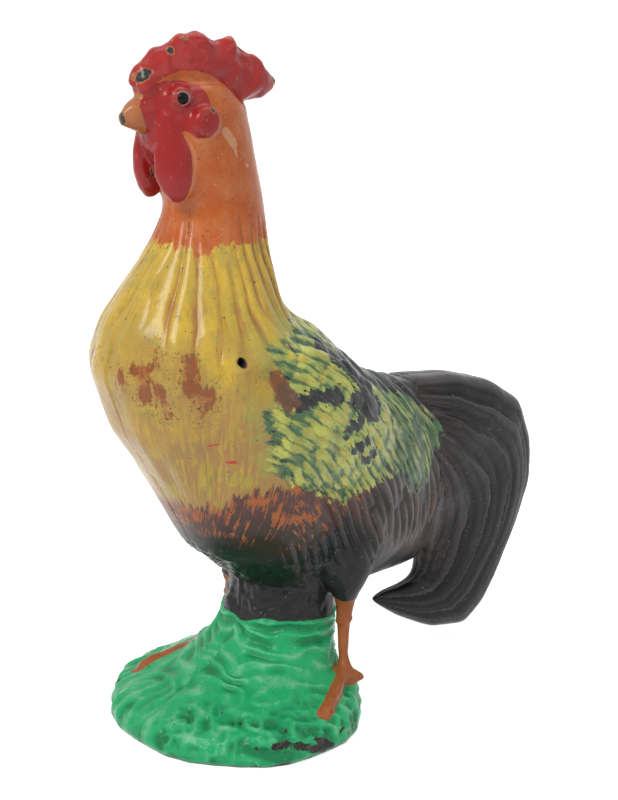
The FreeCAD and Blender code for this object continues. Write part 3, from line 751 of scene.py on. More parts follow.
@dataclass
class Figure:
    """Both castings as one painted skin."""

    name: str = "painted_figure"
    voxel: float = 0.8
    quick_voxel: float = 1.2
    rounds: int = 90
    wall_gap: float = 0.01
    plan: PaintPlan = field(default_factory=PaintPlan)

    def fuse(self) -> bpy.types.Mesh:
        """Copy both castings into one closed mesh of small quads.

        Returns:
            The mesh.
        """
        shell = bmesh.new()
        for node in ("left_half", "right_half"):
            shell.from_mesh(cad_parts[node].data)
        mesh = bpy.data.meshes.new("fused")
        shell.to_mesh(mesh)
        shell.free()
        source = bpy.data.objects.new("fused", mesh)
        bpy.context.scene.collection.objects.link(source)
        remesh = source.modifiers.new("remesh", "REMESH")
        remesh.mode = "VOXEL"
        remesh.voxel_size = self.voxel * MM
        graph = bpy.context.evaluated_depsgraph_get()
        dense = bpy.data.meshes.new_from_object(source.evaluated_get(graph))
        bpy.data.objects.remove(source)
        bpy.data.meshes.remove(mesh)
        return dense

    def smooth(self, mesh: bpy.types.Mesh, relief: Relief) -> Skin:
        """Read the mesh and take the facets off it without shrinking it.

        Args:
            mesh: the fused mesh, which gets the smoothed points.
            relief: marks the regions and says how soft each is.

        Returns:
            The skin with its regions.
        """
        flat = np.empty(len(mesh.vertices) * 3)
        mesh.vertices.foreach_get("co", flat)
        pairs = np.empty(len(mesh.edges) * 2, np.int64)
        mesh.edges.foreach_get("vertices", pairs)
        skin = Skin(flat.reshape(-1, 3) / MM, pairs.reshape(-1, 2))
        skin.find_outside(self.plan)
        relief.regions(skin)
        strength = relief.softness(skin)
        first = skin.points
        once = skin.relax(first, strength, self.rounds)
        skin.points = once + skin.relax(first - once, strength, self.rounds)
        relief.regions(skin)
        mesh.vertices.foreach_set("co", (skin.points * MM).ravel())
        mesh.update()
        return skin

    def spots(self, skin: Skin) -> None:
        """Mark the stains, flecks, worn places and chips, and the screw's hole.

        Args:
            skin: the carved skin that gets the marks.
        """
        plan, marks = self.plan, skin.marks
        for word, places in (("stain", plan.stains), ("fleck", plan.flecks), ("pale", plan.pale),
                             ("chip", plan.chips)):
            deep = [half - near_line(skin.points, (start, end)) for start, end, half in places]
            marks[word] = np.maximum(np.max(deep, axis=0), plan.spot_floor)
        marks["green"] = plan.green_half - near_line(np.abs(skin.points) * (1, -1, 1), plan.green_line)
        bore = plan.from_screw(skin.points)
        marks["inside"] = np.where(skin.outside | (bore < plan.bore_rim), 0.0, 1.0)
        marks["hole"] = np.where(skin.points[:, 0] > 0, *plan.hole_halves) - bore
        marks["height"] = skin.points[:, 2]

    def build(self) -> bpy.types.Object:
        """Make the skin, carve it and mark where each paint goes.

        Returns:
            The painted object.
        """
        mesh = self.fuse()
        relief = Relief(self.plan, TailLines())
        skin = self.smooth(mesh, relief)
        normals = np.empty(skin.points.size)
        mesh.vertices.foreach_get("normal", normals)
        normals = normals.reshape(-1, 3)
        flow = relief.flow(skin)
        height = Carver(relief, skin, normals, flow).carve()
        skin.points = skin.points + normals * height[:, None]
        half = np.full(len(height), 0.5)
        bulge = ((skin.points - skin.relax(skin.points, half, 8)) * normals).sum(axis=1)
        skin.marks["bulge"] = skin.relax(bulge[:, None], half, 2)[:, 0]
        self.spots(skin)
        low, high = (np.array(corner) / MM for corner in CAD_BOX)
        skin.points = np.clip(skin.points, low + self.wall_gap, high - self.wall_gap)
        mesh.vertices.foreach_set("co", (skin.points * MM).ravel())
        mesh.update()
        for word, values in skin.marks.items():
            mesh.attributes.new(word, "FLOAT", "POINT").data.foreach_set("value", values.astype(np.float32))
        lanes = mesh.attributes.new("flow", "FLOAT_VECTOR", "POINT").data
        lanes.foreach_set("vector", flow.astype(np.float32).ravel())
        mesh.shade_smooth()
        figure = bpy.data.objects.new(self.name, mesh)
        bpy.context.scene.collection.objects.link(figure)
        LOG.info("%s has %d points", self.name, len(height))
        return figure


@dataclass
class Eyes:
    """A glossy black bead in a thin pale ring on each side of the head."""

    place: tuple = (13.15, -90.6, 275.0)
    bead_radius: float = 2.4
    bead_rise: float = 1.7
    ring_radius: float = 2.62
    ring_half: float = 0.36
    ring_rise: float = 0.1
    bead_foot: float = -1.5
    dome_turn: float = 0.19
    dome_rings: int = 9
    ring_points: int = 10
    tilt: float = 26.0
    steps: int = 40

    def turned(self, name: str, profile: Sequence[tuple[float, float]], side: Side) -> bpy.types.Object:
        """Turn a profile about an axis that points out of one side of the head.

        Args:
            name: the piece's name.
            profile: radius and rise of each ring, in millimetres, from the rim to the middle or round.
            side: which side of the head.

        Returns:
            The new object.
        """
        shape = bmesh.new()
        tilt = Matrix.Rotation(math.radians(-self.tilt) * side.value, 3, "Z")
        loops = []
        for radius, rise in profile:
            loop = []
            for k in range(self.steps):
                turn = math.tau * k / self.steps
                local = Vector((rise * side.value, radius * math.cos(turn), radius * math.sin(turn)))
                centre = Vector((self.place[0] * side.value, self.place[1], self.place[2]))
                loop.append(shape.verts.new((centre + tilt @ local) * MM))
            loops.append(loop)
        closed = profile[0] == profile[-1]
        if closed:
            loops[-1] = loops[0]
        for low, high in zip(loops, loops[1:]):
            for k in range(self.steps):
                after = (k + 1) % self.steps
                shape.faces.new((low[k], low[after], high[after], high[k]))
        if not closed:
            shape.faces.new(loops[0])
            shape.faces.new(loops[-1])
        loose = [vert for vert in shape.verts if not vert.link_faces]
        bmesh.ops.delete(shape, geom=loose, context="VERTS")
        bmesh.ops.recalc_face_normals(shape, faces=shape.faces)
        mesh = bpy.data.meshes.new(name)
        shape.to_mesh(mesh)
        shape.free()
        mesh.shade_smooth()
        piece = bpy.data.objects.new(name, mesh)
        bpy.context.scene.collection.objects.link(piece)
        return piece

    def build(self) -> list[tuple[bpy.types.Object, bpy.types.Object]]:
        """Make the bead and the ring of both eyes.

        Returns:
            A pair of bead and ring for each eye.
        """
        dome = [(self.bead_radius, self.bead_foot)]
        for k in range(self.dome_rings):
            turn = k * self.dome_turn
            dome.append((self.bead_radius * math.cos(turn), self.bead_rise * math.sin(turn)))
        ring = []
        for k in range(self.ring_points):
            turn = math.tau * k / self.ring_points
            ring.append((self.ring_radius + self.ring_half * math.cos(turn),
                         self.ring_rise + self.ring_half * math.sin(turn)))
        ring.append(ring[0])
        return [(self.turned(f"{side.name.lower()}_eye_bead", dome, side),
                 self.turned(f"{side.name.lower()}_eye_ring", ring, side)) for side in Side]


class Wire:
    """A shader socket that maths can be written with."""

    def __init__(self, board: "Board", socket: bpy.types.NodeSocket) -> None:
        """Keep the socket and the board that its nodes stand on."""
        self.board = board
        self.socket = socket

    def maths(self, operation: str, *others: Any) -> "Wire":
        """Add one Math node with this socket as its first value."""
        values = {0: self, **{k + 1: other for k, other in enumerate(others)}}
        return self.board.add("ShaderNodeMath", {"operation": operation}, values)

    def __add__(self, other: Any) -> "Wire":
        """Sum."""
        return self.maths("ADD", other)

    __radd__ = __add__

    def __mul__(self, other: Any) -> "Wire":
        """Product."""
        return self.maths("MULTIPLY", other)

    __rmul__ = __mul__

    def __sub__(self, other: Any) -> "Wire":
        """Difference."""
        return self.maths("SUBTRACT", other)

    def __rsub__(self, other: Any) -> "Wire":
        """Difference the other way round."""
        return self.board.add("ShaderNodeMath", {"operation": "SUBTRACT"}, {0: other, 1: self})

    def high(self, other: Any) -> "Wire":
        """The larger of two values."""
        return self.maths("MAXIMUM", other)

    def step(self, start: float, end: float) -> "Wire":
        """A ramp from 0 at start to 1 at end."""
        slope = 1.0 / (end - start)
        return self.board.add("ShaderNodeMath", {"operation": "MULTIPLY_ADD", "use_clamp": True},
                              {0: self, 1: slope, 2: -start * slope})


class Board:
    """The nodes of one material or of the world."""

    def __init__(self, home: bpy.types.Material | bpy.types.World, kind: str) -> None:
        """Start with only a surface shader and an output.

        Args:
            home: the material or world.
            kind: the type of its surface shader.
        """
        home.use_nodes = True
        self.home = home
        self.tree = home.node_tree
        self.shader = next(n for n in self.tree.nodes if n.type == kind)

    @classmethod
    def paint(cls, name: str) -> "Board":
        """Start a new material."""
        return cls(bpy.data.materials.new(name), "BSDF_PRINCIPLED")

    def add(self, kind: str, settings: dict, values: dict, output: int | str = 0) -> Wire:
        """Add one node.

        Args:
            kind: the node's type.
            settings: properties set before anything is linked.
            values: numbers, colours or wires for its sockets, by index or name.
            output: which of its outputs to return.

        Returns:
            That output.
        """
        node = self.tree.nodes.new(kind)
        for word, setting in settings.items():
            setattr(node, word, setting)
        for key, value in values.items():
            self.feed(node.inputs[key], value)
        return Wire(self, node.outputs[output])

    def feed(self, socket: bpy.types.NodeSocket, value: Any) -> None:
        """Link a wire to a socket, or set its plain value.

        Args:
            socket: the input socket.
            value: a wire, a number or a colour.
        """
        if isinstance(value, Wire):
            self.tree.links.new(value.socket, socket)
        elif isinstance(value, (tuple, list)) and socket.type == "RGBA":
            socket.default_value = (*value[:3], 1.0)
        else:
            socket.default_value = value

    def mark(self, word: str) -> Wire:
        """One of the numbers marked on the skin."""
        return self.add("ShaderNodeAttribute", {"attribute_name": word}, {}, "Fac")

    def stretch(self, vector: Wire, scale: tuple) -> Wire:
        """A vector scaled along each axis."""
        return self.add("ShaderNodeVectorMath", {"operation": "MULTIPLY"}, {0: vector, 1: scale})

    def flow(self, along: float, across: float) -> Wire:
        """The coordinates along and across the feathers, scaled."""
        return self.stretch(self.add("ShaderNodeAttribute", {"attribute_name": "flow"}, {}, "Vector"),
                            (along, across, 1.0))

    def place(self) -> Wire:
        """The place on the object, in millimetres."""
        raw = self.add("ShaderNodeTexCoord", {}, {}, "Object")
        return self.add("ShaderNodeVectorMath", {"operation": "SCALE"}, {0: raw, "Scale": 1.0 / MM})

    def noise(self, vector: Wire, size: float, detail: float = 2.0, rough: float = 0.5) -> Wire:
        """Noise from 0 to 1 with features of about a size in millimetres."""
        return self.add("ShaderNodeTexNoise", {}, {
            "Vector": vector, "Scale": 1.0 / size, "Detail": detail, "Roughness": rough})

    def dots(self, vector: Wire, size: float) -> Wire:
        """Distance to the nearest of scattered dots, in cells of a size in millimetres."""
        return self.add("ShaderNodeTexVoronoi", {}, {"Vector": vector, "Scale": 1.0 / size}, "Distance")

    def blend(self, mask: Any, below: Any, above: Any) -> Wire:
        """One colour over another where the mask is 1."""
        return self.add("ShaderNodeMix", {"data_type": "RGBA"}, {0: mask, 6: below, 7: above}, 2)

    def level(self, mask: Any, below: Any, above: Any) -> Wire:
        """One number over another where the mask is 1."""
        return self.add("ShaderNodeMix", {"data_type": "FLOAT"}, {0: mask, 2: below, 3: above}, 0)

    def stack(self, base: Any, *coats: tuple[Any, Any]) -> Wire:
        """Lay several colours over a base.

        Args:
            base: the lowest colour.
            coats: pairs of a mask and the colour that it lets through.

        Returns:
            The colour of the whole stack.
        """
        for mask, colour in coats:
            base = self.blend(mask, base, colour)
        return base

    def bump(self, height: Wire, distance: float, strength: float) -> Wire:
        """A normal bent by a height."""
        return self.add("ShaderNodeBump", {}, {
            "Height": height, "Distance": distance, "Strength": strength}, "Normal")

    def finish(self, **sockets: Any) -> bpy.types.ID:
        """Set the surface shader's sockets.

        Args:
            sockets: values or wires by the socket's words joined with underscores.

        Returns:
            The material or world.
        """
        for word, value in sockets.items():
            self.feed(self.shader.inputs[word.replace("_", " ")], value)
        return self.home

    def backdrop(self, lit: Wire, seen: Wire) -> None:
        """Show one shader to the camera and in reflections and glass, and another to the light that falls.

        Args:
            lit: the shader that lights the object.
            seen: the shader that is seen.
        """
        camera, glossy, glass = (self.add("ShaderNodeLightPath", {}, {}, f"Is {word} Ray")
                                 for word in ("Camera", "Glossy", "Transmission"))
        mix = self.add("ShaderNodeMixShader", {}, {0: camera.high(glossy).high(glass), 1: lit, 2: seen})
        output = next(n for n in self.tree.nodes if n.type.startswith("OUTPUT"))
        self.feed(output.inputs["Surface"], mix)


@dataclass(frozen=True)
class Enamel:
    """The rooster's paints over black undercoat and iron, under an aged varnish."""

    iron: Colour = (0.060, 0.052, 0.044)
    undercoat: Colour = (0.020, 0.020, 0.021)
    primer: Colour = (0.46, 0.21, 0.085)
    red: Colour = (0.340, 0.015, 0.014)
    deep_red: Colour = (0.240, 0.018, 0.018)
    comb_red: Colour = (0.400, 0.022, 0.018)
    comb_shade: Colour = (0.250, 0.020, 0.020)
    comb_tip: Colour = (0.480, 0.170, 0.060)
    worn_red: Colour = (0.47, 0.17, 0.10)
    face_rim: Colour = (0.600, 0.230, 0.100)
    beak: Colour = (0.360, 0.100, 0.026)
    pale_beak: Colour = (0.450, 0.165, 0.060)
    orange: Colour = (0.470, 0.096, 0.012)
    pale_orange: Colour = (0.540, 0.160, 0.046)
    scratch: Colour = (0.640, 0.430, 0.230)
    patch: Colour = (0.600, 0.270, 0.140)
    yellow: Colour = (0.650, 0.425, 0.045)
    dull_yellow: Colour = (0.470, 0.315, 0.055)
    tan: Colour = (0.430, 0.240, 0.068)
    rose: Colour = (0.400, 0.170, 0.075)
    groove_shade_and_grime_brown: Colour = (0.360, 0.160, 0.030)
    stain: Colour = (0.290, 0.085, 0.024)
    dark_stain: Colour = (0.130, 0.060, 0.035)
    grit: Colour = (0.085, 0.070, 0.028)
    fleck: Colour = (0.520, 0.060, 0.030)
    olive: Colour = (0.300, 0.260, 0.060)
    lime: Colour = (0.560, 0.600, 0.130)
    leaf: Colour = (0.085, 0.175, 0.075)
    tinge: Colour = (0.330, 0.370, 0.085)
    wing_line: Colour = (0.025, 0.045, 0.025)
    saddle: Colour = (0.400, 0.430, 0.160)
    brown: Colour = (0.115, 0.052, 0.042)
    under_belly: Colour = (0.026, 0.022, 0.016)
    belly_orange: Colour = (0.430, 0.125, 0.040)
    flank_highlight_grey: Colour = (0.130, 0.120, 0.116)
    flank_brown: Colour = (0.150, 0.095, 0.082)
    charcoal: Colour = (0.034, 0.033, 0.034)
    tail_groove_shade: Colour = (0.005, 0.005, 0.006)
    scuff_and_highlight_grey: Colour = (0.095, 0.092, 0.090)
    plum: Colour = (0.115, 0.072, 0.066)
    bottle: Colour = (0.005, 0.022, 0.011)
    grass: Colour = (0.024, 0.420, 0.158)
    grass_hollow_shade: Colour = (0.012, 0.210, 0.078)
    worn_and_highlight_grass: Colour = (0.310, 0.650, 0.410)
    leg: Colour = (0.420, 0.125, 0.040)
    dust: Colour = (0.420, 0.400, 0.340)
    varnish: float = 0.30
    varnish_on_black: float = 0.06

    def material(self) -> bpy.types.Material:
        """Lay every coat and finish the surface."""
        return Coats(self).material()


class Coats:
    """The rooster's paints, laid one over another on one board."""

    def __init__(self, ink: Enamel) -> None:
        """Make the noises and marks that the coats share, and the undercoat.

        Args:
            ink: the colours.
        """
        self.ink = ink
        self.board = b = Board.paint("worn_enamel")
        self.place = b.place()
        self.ragged = b.noise(self.place, 3.0, 3.0, 0.6) - 0.5
        self.broad = b.noise(self.place, 24.0, 3.0)
        self.cloud = b.noise(self.place, 9.0, 3.0)
        self.fine = b.noise(self.place, 1.1, 2.0, 0.6)
        self.streak = b.noise(b.flow(0.085, 0.62), 1.0, 2.0, 0.55)
        self.hair = b.noise(b.flow(0.10, 1.9), 1.0, 2.0, 0.6)
        self.dab = b.noise(b.flow(0.20, 0.42), 1.0, 2.0, 0.6)
        self.crest, self.bulge, self.height = b.mark("crest"), b.mark("bulge"), b.mark("height")
        self.black = b.blend(self.cloud.step(0.4, 0.7), ink.undercoat, ink.charcoal)
        self.paint = b.blend(self.broad.step(0.35, 0.65), ink.undercoat, ink.charcoal)

    def lay(self, mask: Any, colour: Any) -> None:
        """Lay a colour over the paint where the mask is 1."""
        self.paint = self.board.blend(mask, self.paint, colour)

    def edge(self, word: str, wobble: float, soft: float) -> Wire:
        """Turn a mark into a mask with a hand-painted edge.

        Args:
            word: the mark.
            wobble: how ragged the edge is, in millimetres.
            soft: half the width over which it fades.

        Returns:
            The mask.
        """
        return (self.board.mark(word) + self.ragged * wobble).step(-soft, soft)

    def material(self) -> bpy.types.Material:
        """Lay the coats from the lowest up and set the gloss.

        Returns:
            The material.
        """
        b, cloud = self.board, self.cloud
        for coat in (self.flank, self.belly, self.breast, self.neck, self.wing):
            coat()
        tail = self.edge("tail", 1.5, 0.3)
        self.lay(tail, self.tail())
        dark = (b.mark("dark") + 3.0 + self.ragged * 5.0 + (self.streak - 0.5) * 16.0).step(-3.0, 3.0)
        dark = dark * (1.0 - b.mark("wing").step(-3.0, 0.0)) * (1.0 - tail)
        green = b.mark("green").step(-3.0, 4.0) * (self.hair - 0.3).step(0.0, 0.3)
        self.lay(dark, b.blend(green, self.black, self.ink.bottle))
        for coat in (self.ground, self.legs, self.face, self.comb, self.wear, self.specks):
            coat()
        metal = b.mark("inside").step(0.2, 0.8).high(b.mark("hole").step(-0.3, 0.3))
        self.lay(metal, b.blend(cloud.step(0.45, 0.7), self.ink.undercoat, self.ink.iron))
        dull = metal * 0.4 - tail * 0.02 + (cloud - 0.5) * 0.16 + (self.fine - 0.5) * 0.08
        grain = self.fine * 0.2 + self.streak * 0.3 + self.hair * 0.3 + cloud * 0.9
        black = tail.high(dark).high(metal).high(b.mark("belly").step(-2.0, 4.0) * 0.9)
        return b.finish(Base_Color=self.paint, Roughness=(dull + 0.30).high(0.12),
                        Coat_Weight=b.level(black, self.ink.varnish, self.ink.varnish_on_black),
                        Coat_Roughness=0.12, Normal=b.bump(grain, 0.0004, 0.6), IOR=1.45,
                        Specular_IOR_Level=0.16)

    def flank(self) -> None:
        """Charcoal flank feathers with plum brown paint on their ridges, lightened there to grey as painted
        highlight.
        """
        # painted highlight, partly brown paint: grey-brown laid on the raised ridges
        tint = self.board.blend(self.cloud.step(0.35, 0.62), self.ink.flank_highlight_grey, self.ink.flank_brown)
        self.lay((self.crest * 0.6 + self.streak * 0.8 + self.hair * 0.3).step(0.72, 1.1), tint)

    def belly(self) -> None:
        """Brown belly with thin orange strokes that run out downwards."""
        b, ink, depth = self.board, self.ink, self.board.mark("belly")
        front = 1.0 - b.mark("rear").step(-6.0, 8.0)
        self.lay(front * 0.85 + 0.1, b.blend(self.cloud.step(0.35, 0.7), ink.brown, ink.plum))
        self.lay(depth.step(8.0, 24.0) * front * 0.85, ink.under_belly)
        thin = self.streak * 1.0 + self.hair * 0.6 + self.cloud * 0.8 - depth * 0.005 + self.ragged * 0.3
        self.lay(thin.step(1.19, 1.27) * front, ink.belly_orange)

    def breast(self) -> None:
        """Yellow breast, more tan towards the belly, with brown painted shade in its grooves, grime and rusty
        stains.
        """
        b, ink, height, crest = self.board, self.ink, self.height, self.crest
        cloud, fine, streak, ragged, broad = self.cloud, self.fine, self.streak, self.ragged, self.broad
        low = (height + (broad - 0.5) * 60.0 + (streak - 0.5) * 46.0).step(178.0, 140.0)
        bright = (broad + cloud * 0.7 + fine * 0.15 + (height - 190.0) * 0.004).step(0.70, 0.98)
        mould = (cloud + fine * 0.5 - ragged * 0.4).step(0.70, 0.92)
        sour = (cloud + streak * 0.5 - height * 0.002).step(0.48, 0.66)
        # painted shade: brown where the carving is low, down in the feather grooves
        groove = (0.44 - crest + (streak - 0.5) * 0.5).step(0.0, 0.35)
        lit = (streak + cloud * 0.5 + ragged * 0.3).step(0.72, 0.92)
        rosy = (0.9 - streak + cloud * 0.45 + ragged * 0.3).step(0.66, 0.84)
        grime = (streak * 0.8 + cloud * 0.6).step(0.80, 1.0)
        band = (height - 168.0).maths("ABSOLUTE").step(34.0, 8.0)
        smear = (streak * 0.9 + cloud * 0.9 + ragged * 0.5).step(1.02, 1.14) * band
        stain = b.mark("stain")
        blot = (stain + ragged * 7.0 + (streak - 0.5) * 9.0 + (cloud - 0.5) * 9.0).step(-0.6, 1.0)
        rust = b.blend((cloud + fine * 0.3).step(0.48, 0.66), ink.leg, ink.stain)
        grit = (stain + ragged * 8.0 + (cloud - 0.5) * 16.0).step(-6.0, -2.0) * fine.step(0.55, 0.64)
        colour = b.stack(
            b.blend(bright, ink.dull_yellow, ink.yellow), (low, ink.tan), (mould * 0.5, ink.olive),
            (sour * low * 0.75, ink.olive), (groove * broad.step(0.30, 0.50) * 0.95, ink.groove_shade_and_grime_brown),
            (lit * low * 0.7, ink.yellow), (rosy * low * 0.55, ink.rose), (grime * 0.35, ink.groove_shade_and_grime_brown),
            (smear * 0.55, ink.leg), (blot * cloud.step(0.25, 0.5), rust),
            (grit * streak.step(0.40, 0.55) * 0.75, ink.grit),
            (self.edge("fleck", 0.6, 0.1), ink.fleck))
        fringe = (b.noise(b.flow(0.04, 0.5), 1.0) - 0.5) * 22.0
        above = (b.mark("belly") + (streak - 0.5) * 22.0 + fringe + ragged * 2.0).step(0.8, -0.8)
        self.lay(above * (1.0 - b.mark("rear").step(-3.0, 1.0)), colour)

    def neck(self) -> None:
        """Smooth orange neck above a ragged line, with thread-like scratches, worn patches and painted shade
        in the flute grooves.
        """
        b, ink, cloud, streak, ragged = self.board, self.ink, self.cloud, self.streak, self.ragged
        thread = (b.noise(self.place, 8.0, 1.0) - 0.5).maths("ABSOLUTE").step(0.006, 0.003)
        colour = b.stack(
            b.blend((cloud * 0.8 + self.fine * 0.3).step(0.46, 0.72), ink.orange, ink.pale_orange),
            ((streak * 0.8 + cloud * 0.5).step(0.72, 0.95) * 0.4, ink.leg),
            # painted shade: the stain colour laid in the grooves of the neck flutes
            ((0.36 - self.crest).step(0.0, 0.3) * 0.5, ink.stain),
            (thread * b.noise(self.place, 13.0, 1.0).step(0.56, 0.62) * 0.4, ink.scratch),
            (self.edge("pale", 2.0, 0.1), ink.patch))
        torn = b.mark("hackle") + ragged * 6.0 + (b.noise(b.flow(0.15, 0.35), 1.0) - 0.5) * 9.0
        self.lay(torn.step(0.35, -0.35), colour)

    def wing(self) -> None:
        """Yellow-green strokes dragged over leaf green and black; the strokes gather on the barb crests,
        partly as painted highlight, and black stays in the barb grooves, partly as painted shade.
        """
        b, ink, dab, crest = self.board, self.ink, self.dab, self.crest
        streak, hair, cloud, ragged = self.streak, self.hair, self.cloud, self.ragged
        inside = b.mark("wing")
        rear = b.mark("saddle").step(-8.0, 8.0)
        bare = (b.mark("gap") + ragged * 5.0 + (dab - 0.5) * 9.0 + (streak - 0.5) * 6.0).step(-0.6, 0.6)
        cover = inside * 0.04 + dab * 1.1 + ragged * 0.8 + crest * 0.3 - bare * 1.5 - rear * 0.12
        # yellow strokes favour the raised barbs: stroke paint, partly painted highlight
        light = (crest * 0.85 + streak * 0.5 + dab * 0.5 + cloud * 0.55 - bare * 1.2 - rear * 0.12
                 + inside * 0.006)
        top = b.blend(rear, b.blend(dab.step(0.50, 0.72), ink.lime, ink.yellow), ink.saddle)
        # black undercoat left in the low barb grooves, partly painted shade
        scratch = (hair * 0.5 + crest * 0.7 + cloud * 0.2).step(0.58, 0.42)
        lines = (hair * 0.8 + streak * 0.35).step(0.54, 0.49)
        colour = b.stack(
            self.black, (cover.step(0.60, 0.72), ink.leaf),
            (light.step(1.08, 1.27), b.blend(cloud.step(0.62, 0.45) * 0.35, top, ink.leaf)),
            (scratch * (rear * 0.3 + 0.55), ink.undercoat), (lines * (rear * 0.6 + 0.25), ink.wing_line))
        torn = inside + ragged * 7.0 + (dab - 0.5) * 10.0 + (streak - 0.5) * 6.0
        ahead = b.mark("rear").step(-12.0, -20.0) * b.mark("belly").step(0.0, -8.0)
        tinge = (torn + (cloud - 0.5) * 18.0 + (hair - 0.5) * 12.0).step(-9.0, 0.0) * ahead
        self.lay(tinge * 0.6, ink.tinge)
        self.lay(torn.step(-0.5, 0.5), colour)
        patch = (b.mark("stain") + ragged * 5.0 + (dab - 0.5) * 6.0).step(-0.3, 0.6) * inside.step(-8.0, -4.0)
        self.lay(patch * 0.95, b.blend(cloud.step(0.4, 0.6), ink.stain, ink.dark_stain))

    def tail(self) -> Wire:
        """Satin black tail, near-black in its grooves as painted shade and paler on the feather edges as
        scuffs and painted highlight.

        Returns:
            Its colour.
        """
        b, ink, crest, hair = self.board, self.ink, self.crest, self.hair
        near = b.mark("tail").step(22.0, 2.0)
        return b.stack(
            # painted shade: near-black down in the feather grooves, charcoal on the crests
            b.blend((crest * 0.9 + self.streak * 0.3).step(0.20, 0.85), ink.tail_groove_shade, ink.charcoal),
            # scuffs and painted highlight: paler grey on the ridge tops
            ((crest * 0.8 + hair * 0.5 + self.broad * 0.3).step(0.92, 1.22) * 0.7, ink.scuff_and_highlight_grey),
            (near * (hair + self.streak * 0.4).step(0.68, 0.84) * 0.7, ink.plum))

    def ground(self) -> None:
        """Green grass, darker in its hollows as painted shade and pale on its raised parts as rubbed paint
        and painted highlight.
        """
        b, ink, crest, cloud = self.board, self.ink, self.crest, self.cloud
        # rubbed paint and painted highlight: paler where the crests stand high
        rubbed = (crest * 0.75 + cloud * 0.7 + self.fine * 0.3 + self.broad * 0.2).step(1.08, 1.38)
        # painted shade: deeper green down in the hollows of the grass
        colour = b.stack(b.blend((crest * 0.9 + cloud * 0.3).step(0.66, 0.30), ink.grass, ink.grass_hollow_shade),
                         (rubbed * 0.6, ink.worn_and_highlight_grass))
        self.lay(self.edge("grass", 1.2, 0.2), colour)

    def legs(self) -> None:
        """Red-brown shanks and toes."""
        colour = self.board.blend(self.cloud.step(0.3, 0.75), self.ink.leg, self.ink.stain)
        self.lay((self.board.mark("leg") + self.ragged * 0.8).step(-0.3, 0.2), colour)

    def worn(self) -> Wire:
        """How far the high places of the red parts are rubbed."""
        return (self.bulge * 2.0 + self.cloud * 0.8 + self.fine * 0.3).step(0.95, 1.15)

    def face(self) -> None:
        """Red face and wattles in a paler rim, and the horn-coloured beak."""
        b, ink = self.board, self.ink
        colour = b.stack(ink.red, (self.cloud.step(0.3, 0.8) * 0.35, ink.deep_red),
                         (self.worn() * 0.35, ink.worn_red))
        rim = (b.mark("face") + self.ragged * 0.8).step(-2.0, -1.4) * self.height.step(262.0, 256.0)
        self.lay(rim * 0.75, ink.face_rim)
        self.lay(self.edge("face", 1.0, 0.25), colour)
        self.lay(self.edge("beak", 0.8, 0.2), b.blend(self.cloud.step(0.3, 0.7), ink.beak, ink.pale_beak))

    def comb(self) -> None:
        """Red comb, worn to orange on its top."""
        b, ink = self.board, self.ink
        top = (b.mark("comb") + self.cloud * 8.0).step(9.0, 15.0)
        colour = b.stack(ink.comb_red, (self.cloud.step(0.35, 0.75) * 0.5, ink.comb_shade),
                         (self.worn() * top * 0.75, ink.comb_tip))
        self.lay(self.edge("comb", 1.2, 0.25), colour)

    def wear(self) -> None:
        """Chips down to the iron, the worn rim of the base, cracks and the parting seam."""
        b, ink = self.board, self.ink
        chip = b.mark("chip") + self.ragged * 4.2
        lost = b.blend(self.fine.step(0.45, 0.6), ink.undercoat, ink.iron)
        self.lay(chip.step(-0.55, -0.25) * self.height.step(200.0, 230.0) * 0.8, ink.primer)
        self.lay(chip.step(-0.1, 0.12), lost)
        rim = b.noise(self.place, 6.0, 3.0, 0.75) * 1.6 + self.bulge * 0.6 - self.height * 0.16
        self.lay(rim.step(0.70, 0.78), lost)
        crack = b.mark("crack").step(0.25, 0.75) * b.noise(self.place, 2.2, 2.0).step(0.46, 0.56)
        seam = b.mark("seam").step(0.25, 0.7) * b.noise(self.place, 6.0, 3.0, 0.7).step(0.54, 0.62)
        self.lay(crack.high(seam * 0.8), ink.undercoat)

    def specks(self) -> None:
        """Pits, dark specks and pale dust."""
        b, place = self.board, self.place
        pits = b.dots(place, 2.4).step(0.14, 0.09) * b.noise(place, 2.2, 2.0).step(0.45, 0.6)
        spots = b.dots(place, 5.3).step(0.10, 0.07) * self.fine.step(0.4, 0.5)
        self.lay(pits.high(spots) * 0.85, self.ink.undercoat)
        moved = b.add("ShaderNodeVectorMath", {"operation": "ADD"}, {0: place, 1: (7.0, 3.0, 5.0)})
        self.lay(b.dots(moved, 3.1).step(0.12, 0.07) * self.fine.step(0.45, 0.6) * 0.7, self.ink.dust)


@dataclass(frozen=True)
class SmallFinish:
    """A plain finish for a small piece, with fine mottling."""

    name: str
    colour: Colour
    second: Colour
    roughness: float
    metallic: float = 0.0
    coat: float = 0.0
    size: float = 0.9
    shine: float = 0.5

    def material(self) -> bpy.types.Material:
        """Build the finish.

        Returns:
            The material.
        """
        b = Board.paint(self.name)
        place = b.place()
        mottle = b.noise(place, self.size, 3.0, 0.6)
        scratch = b.noise(b.stretch(place, (0.4, 3.0, 0.8)), 0.8, 2.0)
        return b.finish(Base_Color=b.blend(mottle.step(0.42, 0.66), self.colour, self.second),
                        Roughness=(mottle - 0.5) * 0.25 + self.roughness, Metallic=self.metallic,
                        Coat_Weight=self.coat, Specular_IOR_Level=self.shine,
                        Normal=b.bump(mottle * 0.5 + scratch * 0.5, 0.00008, 0.5))


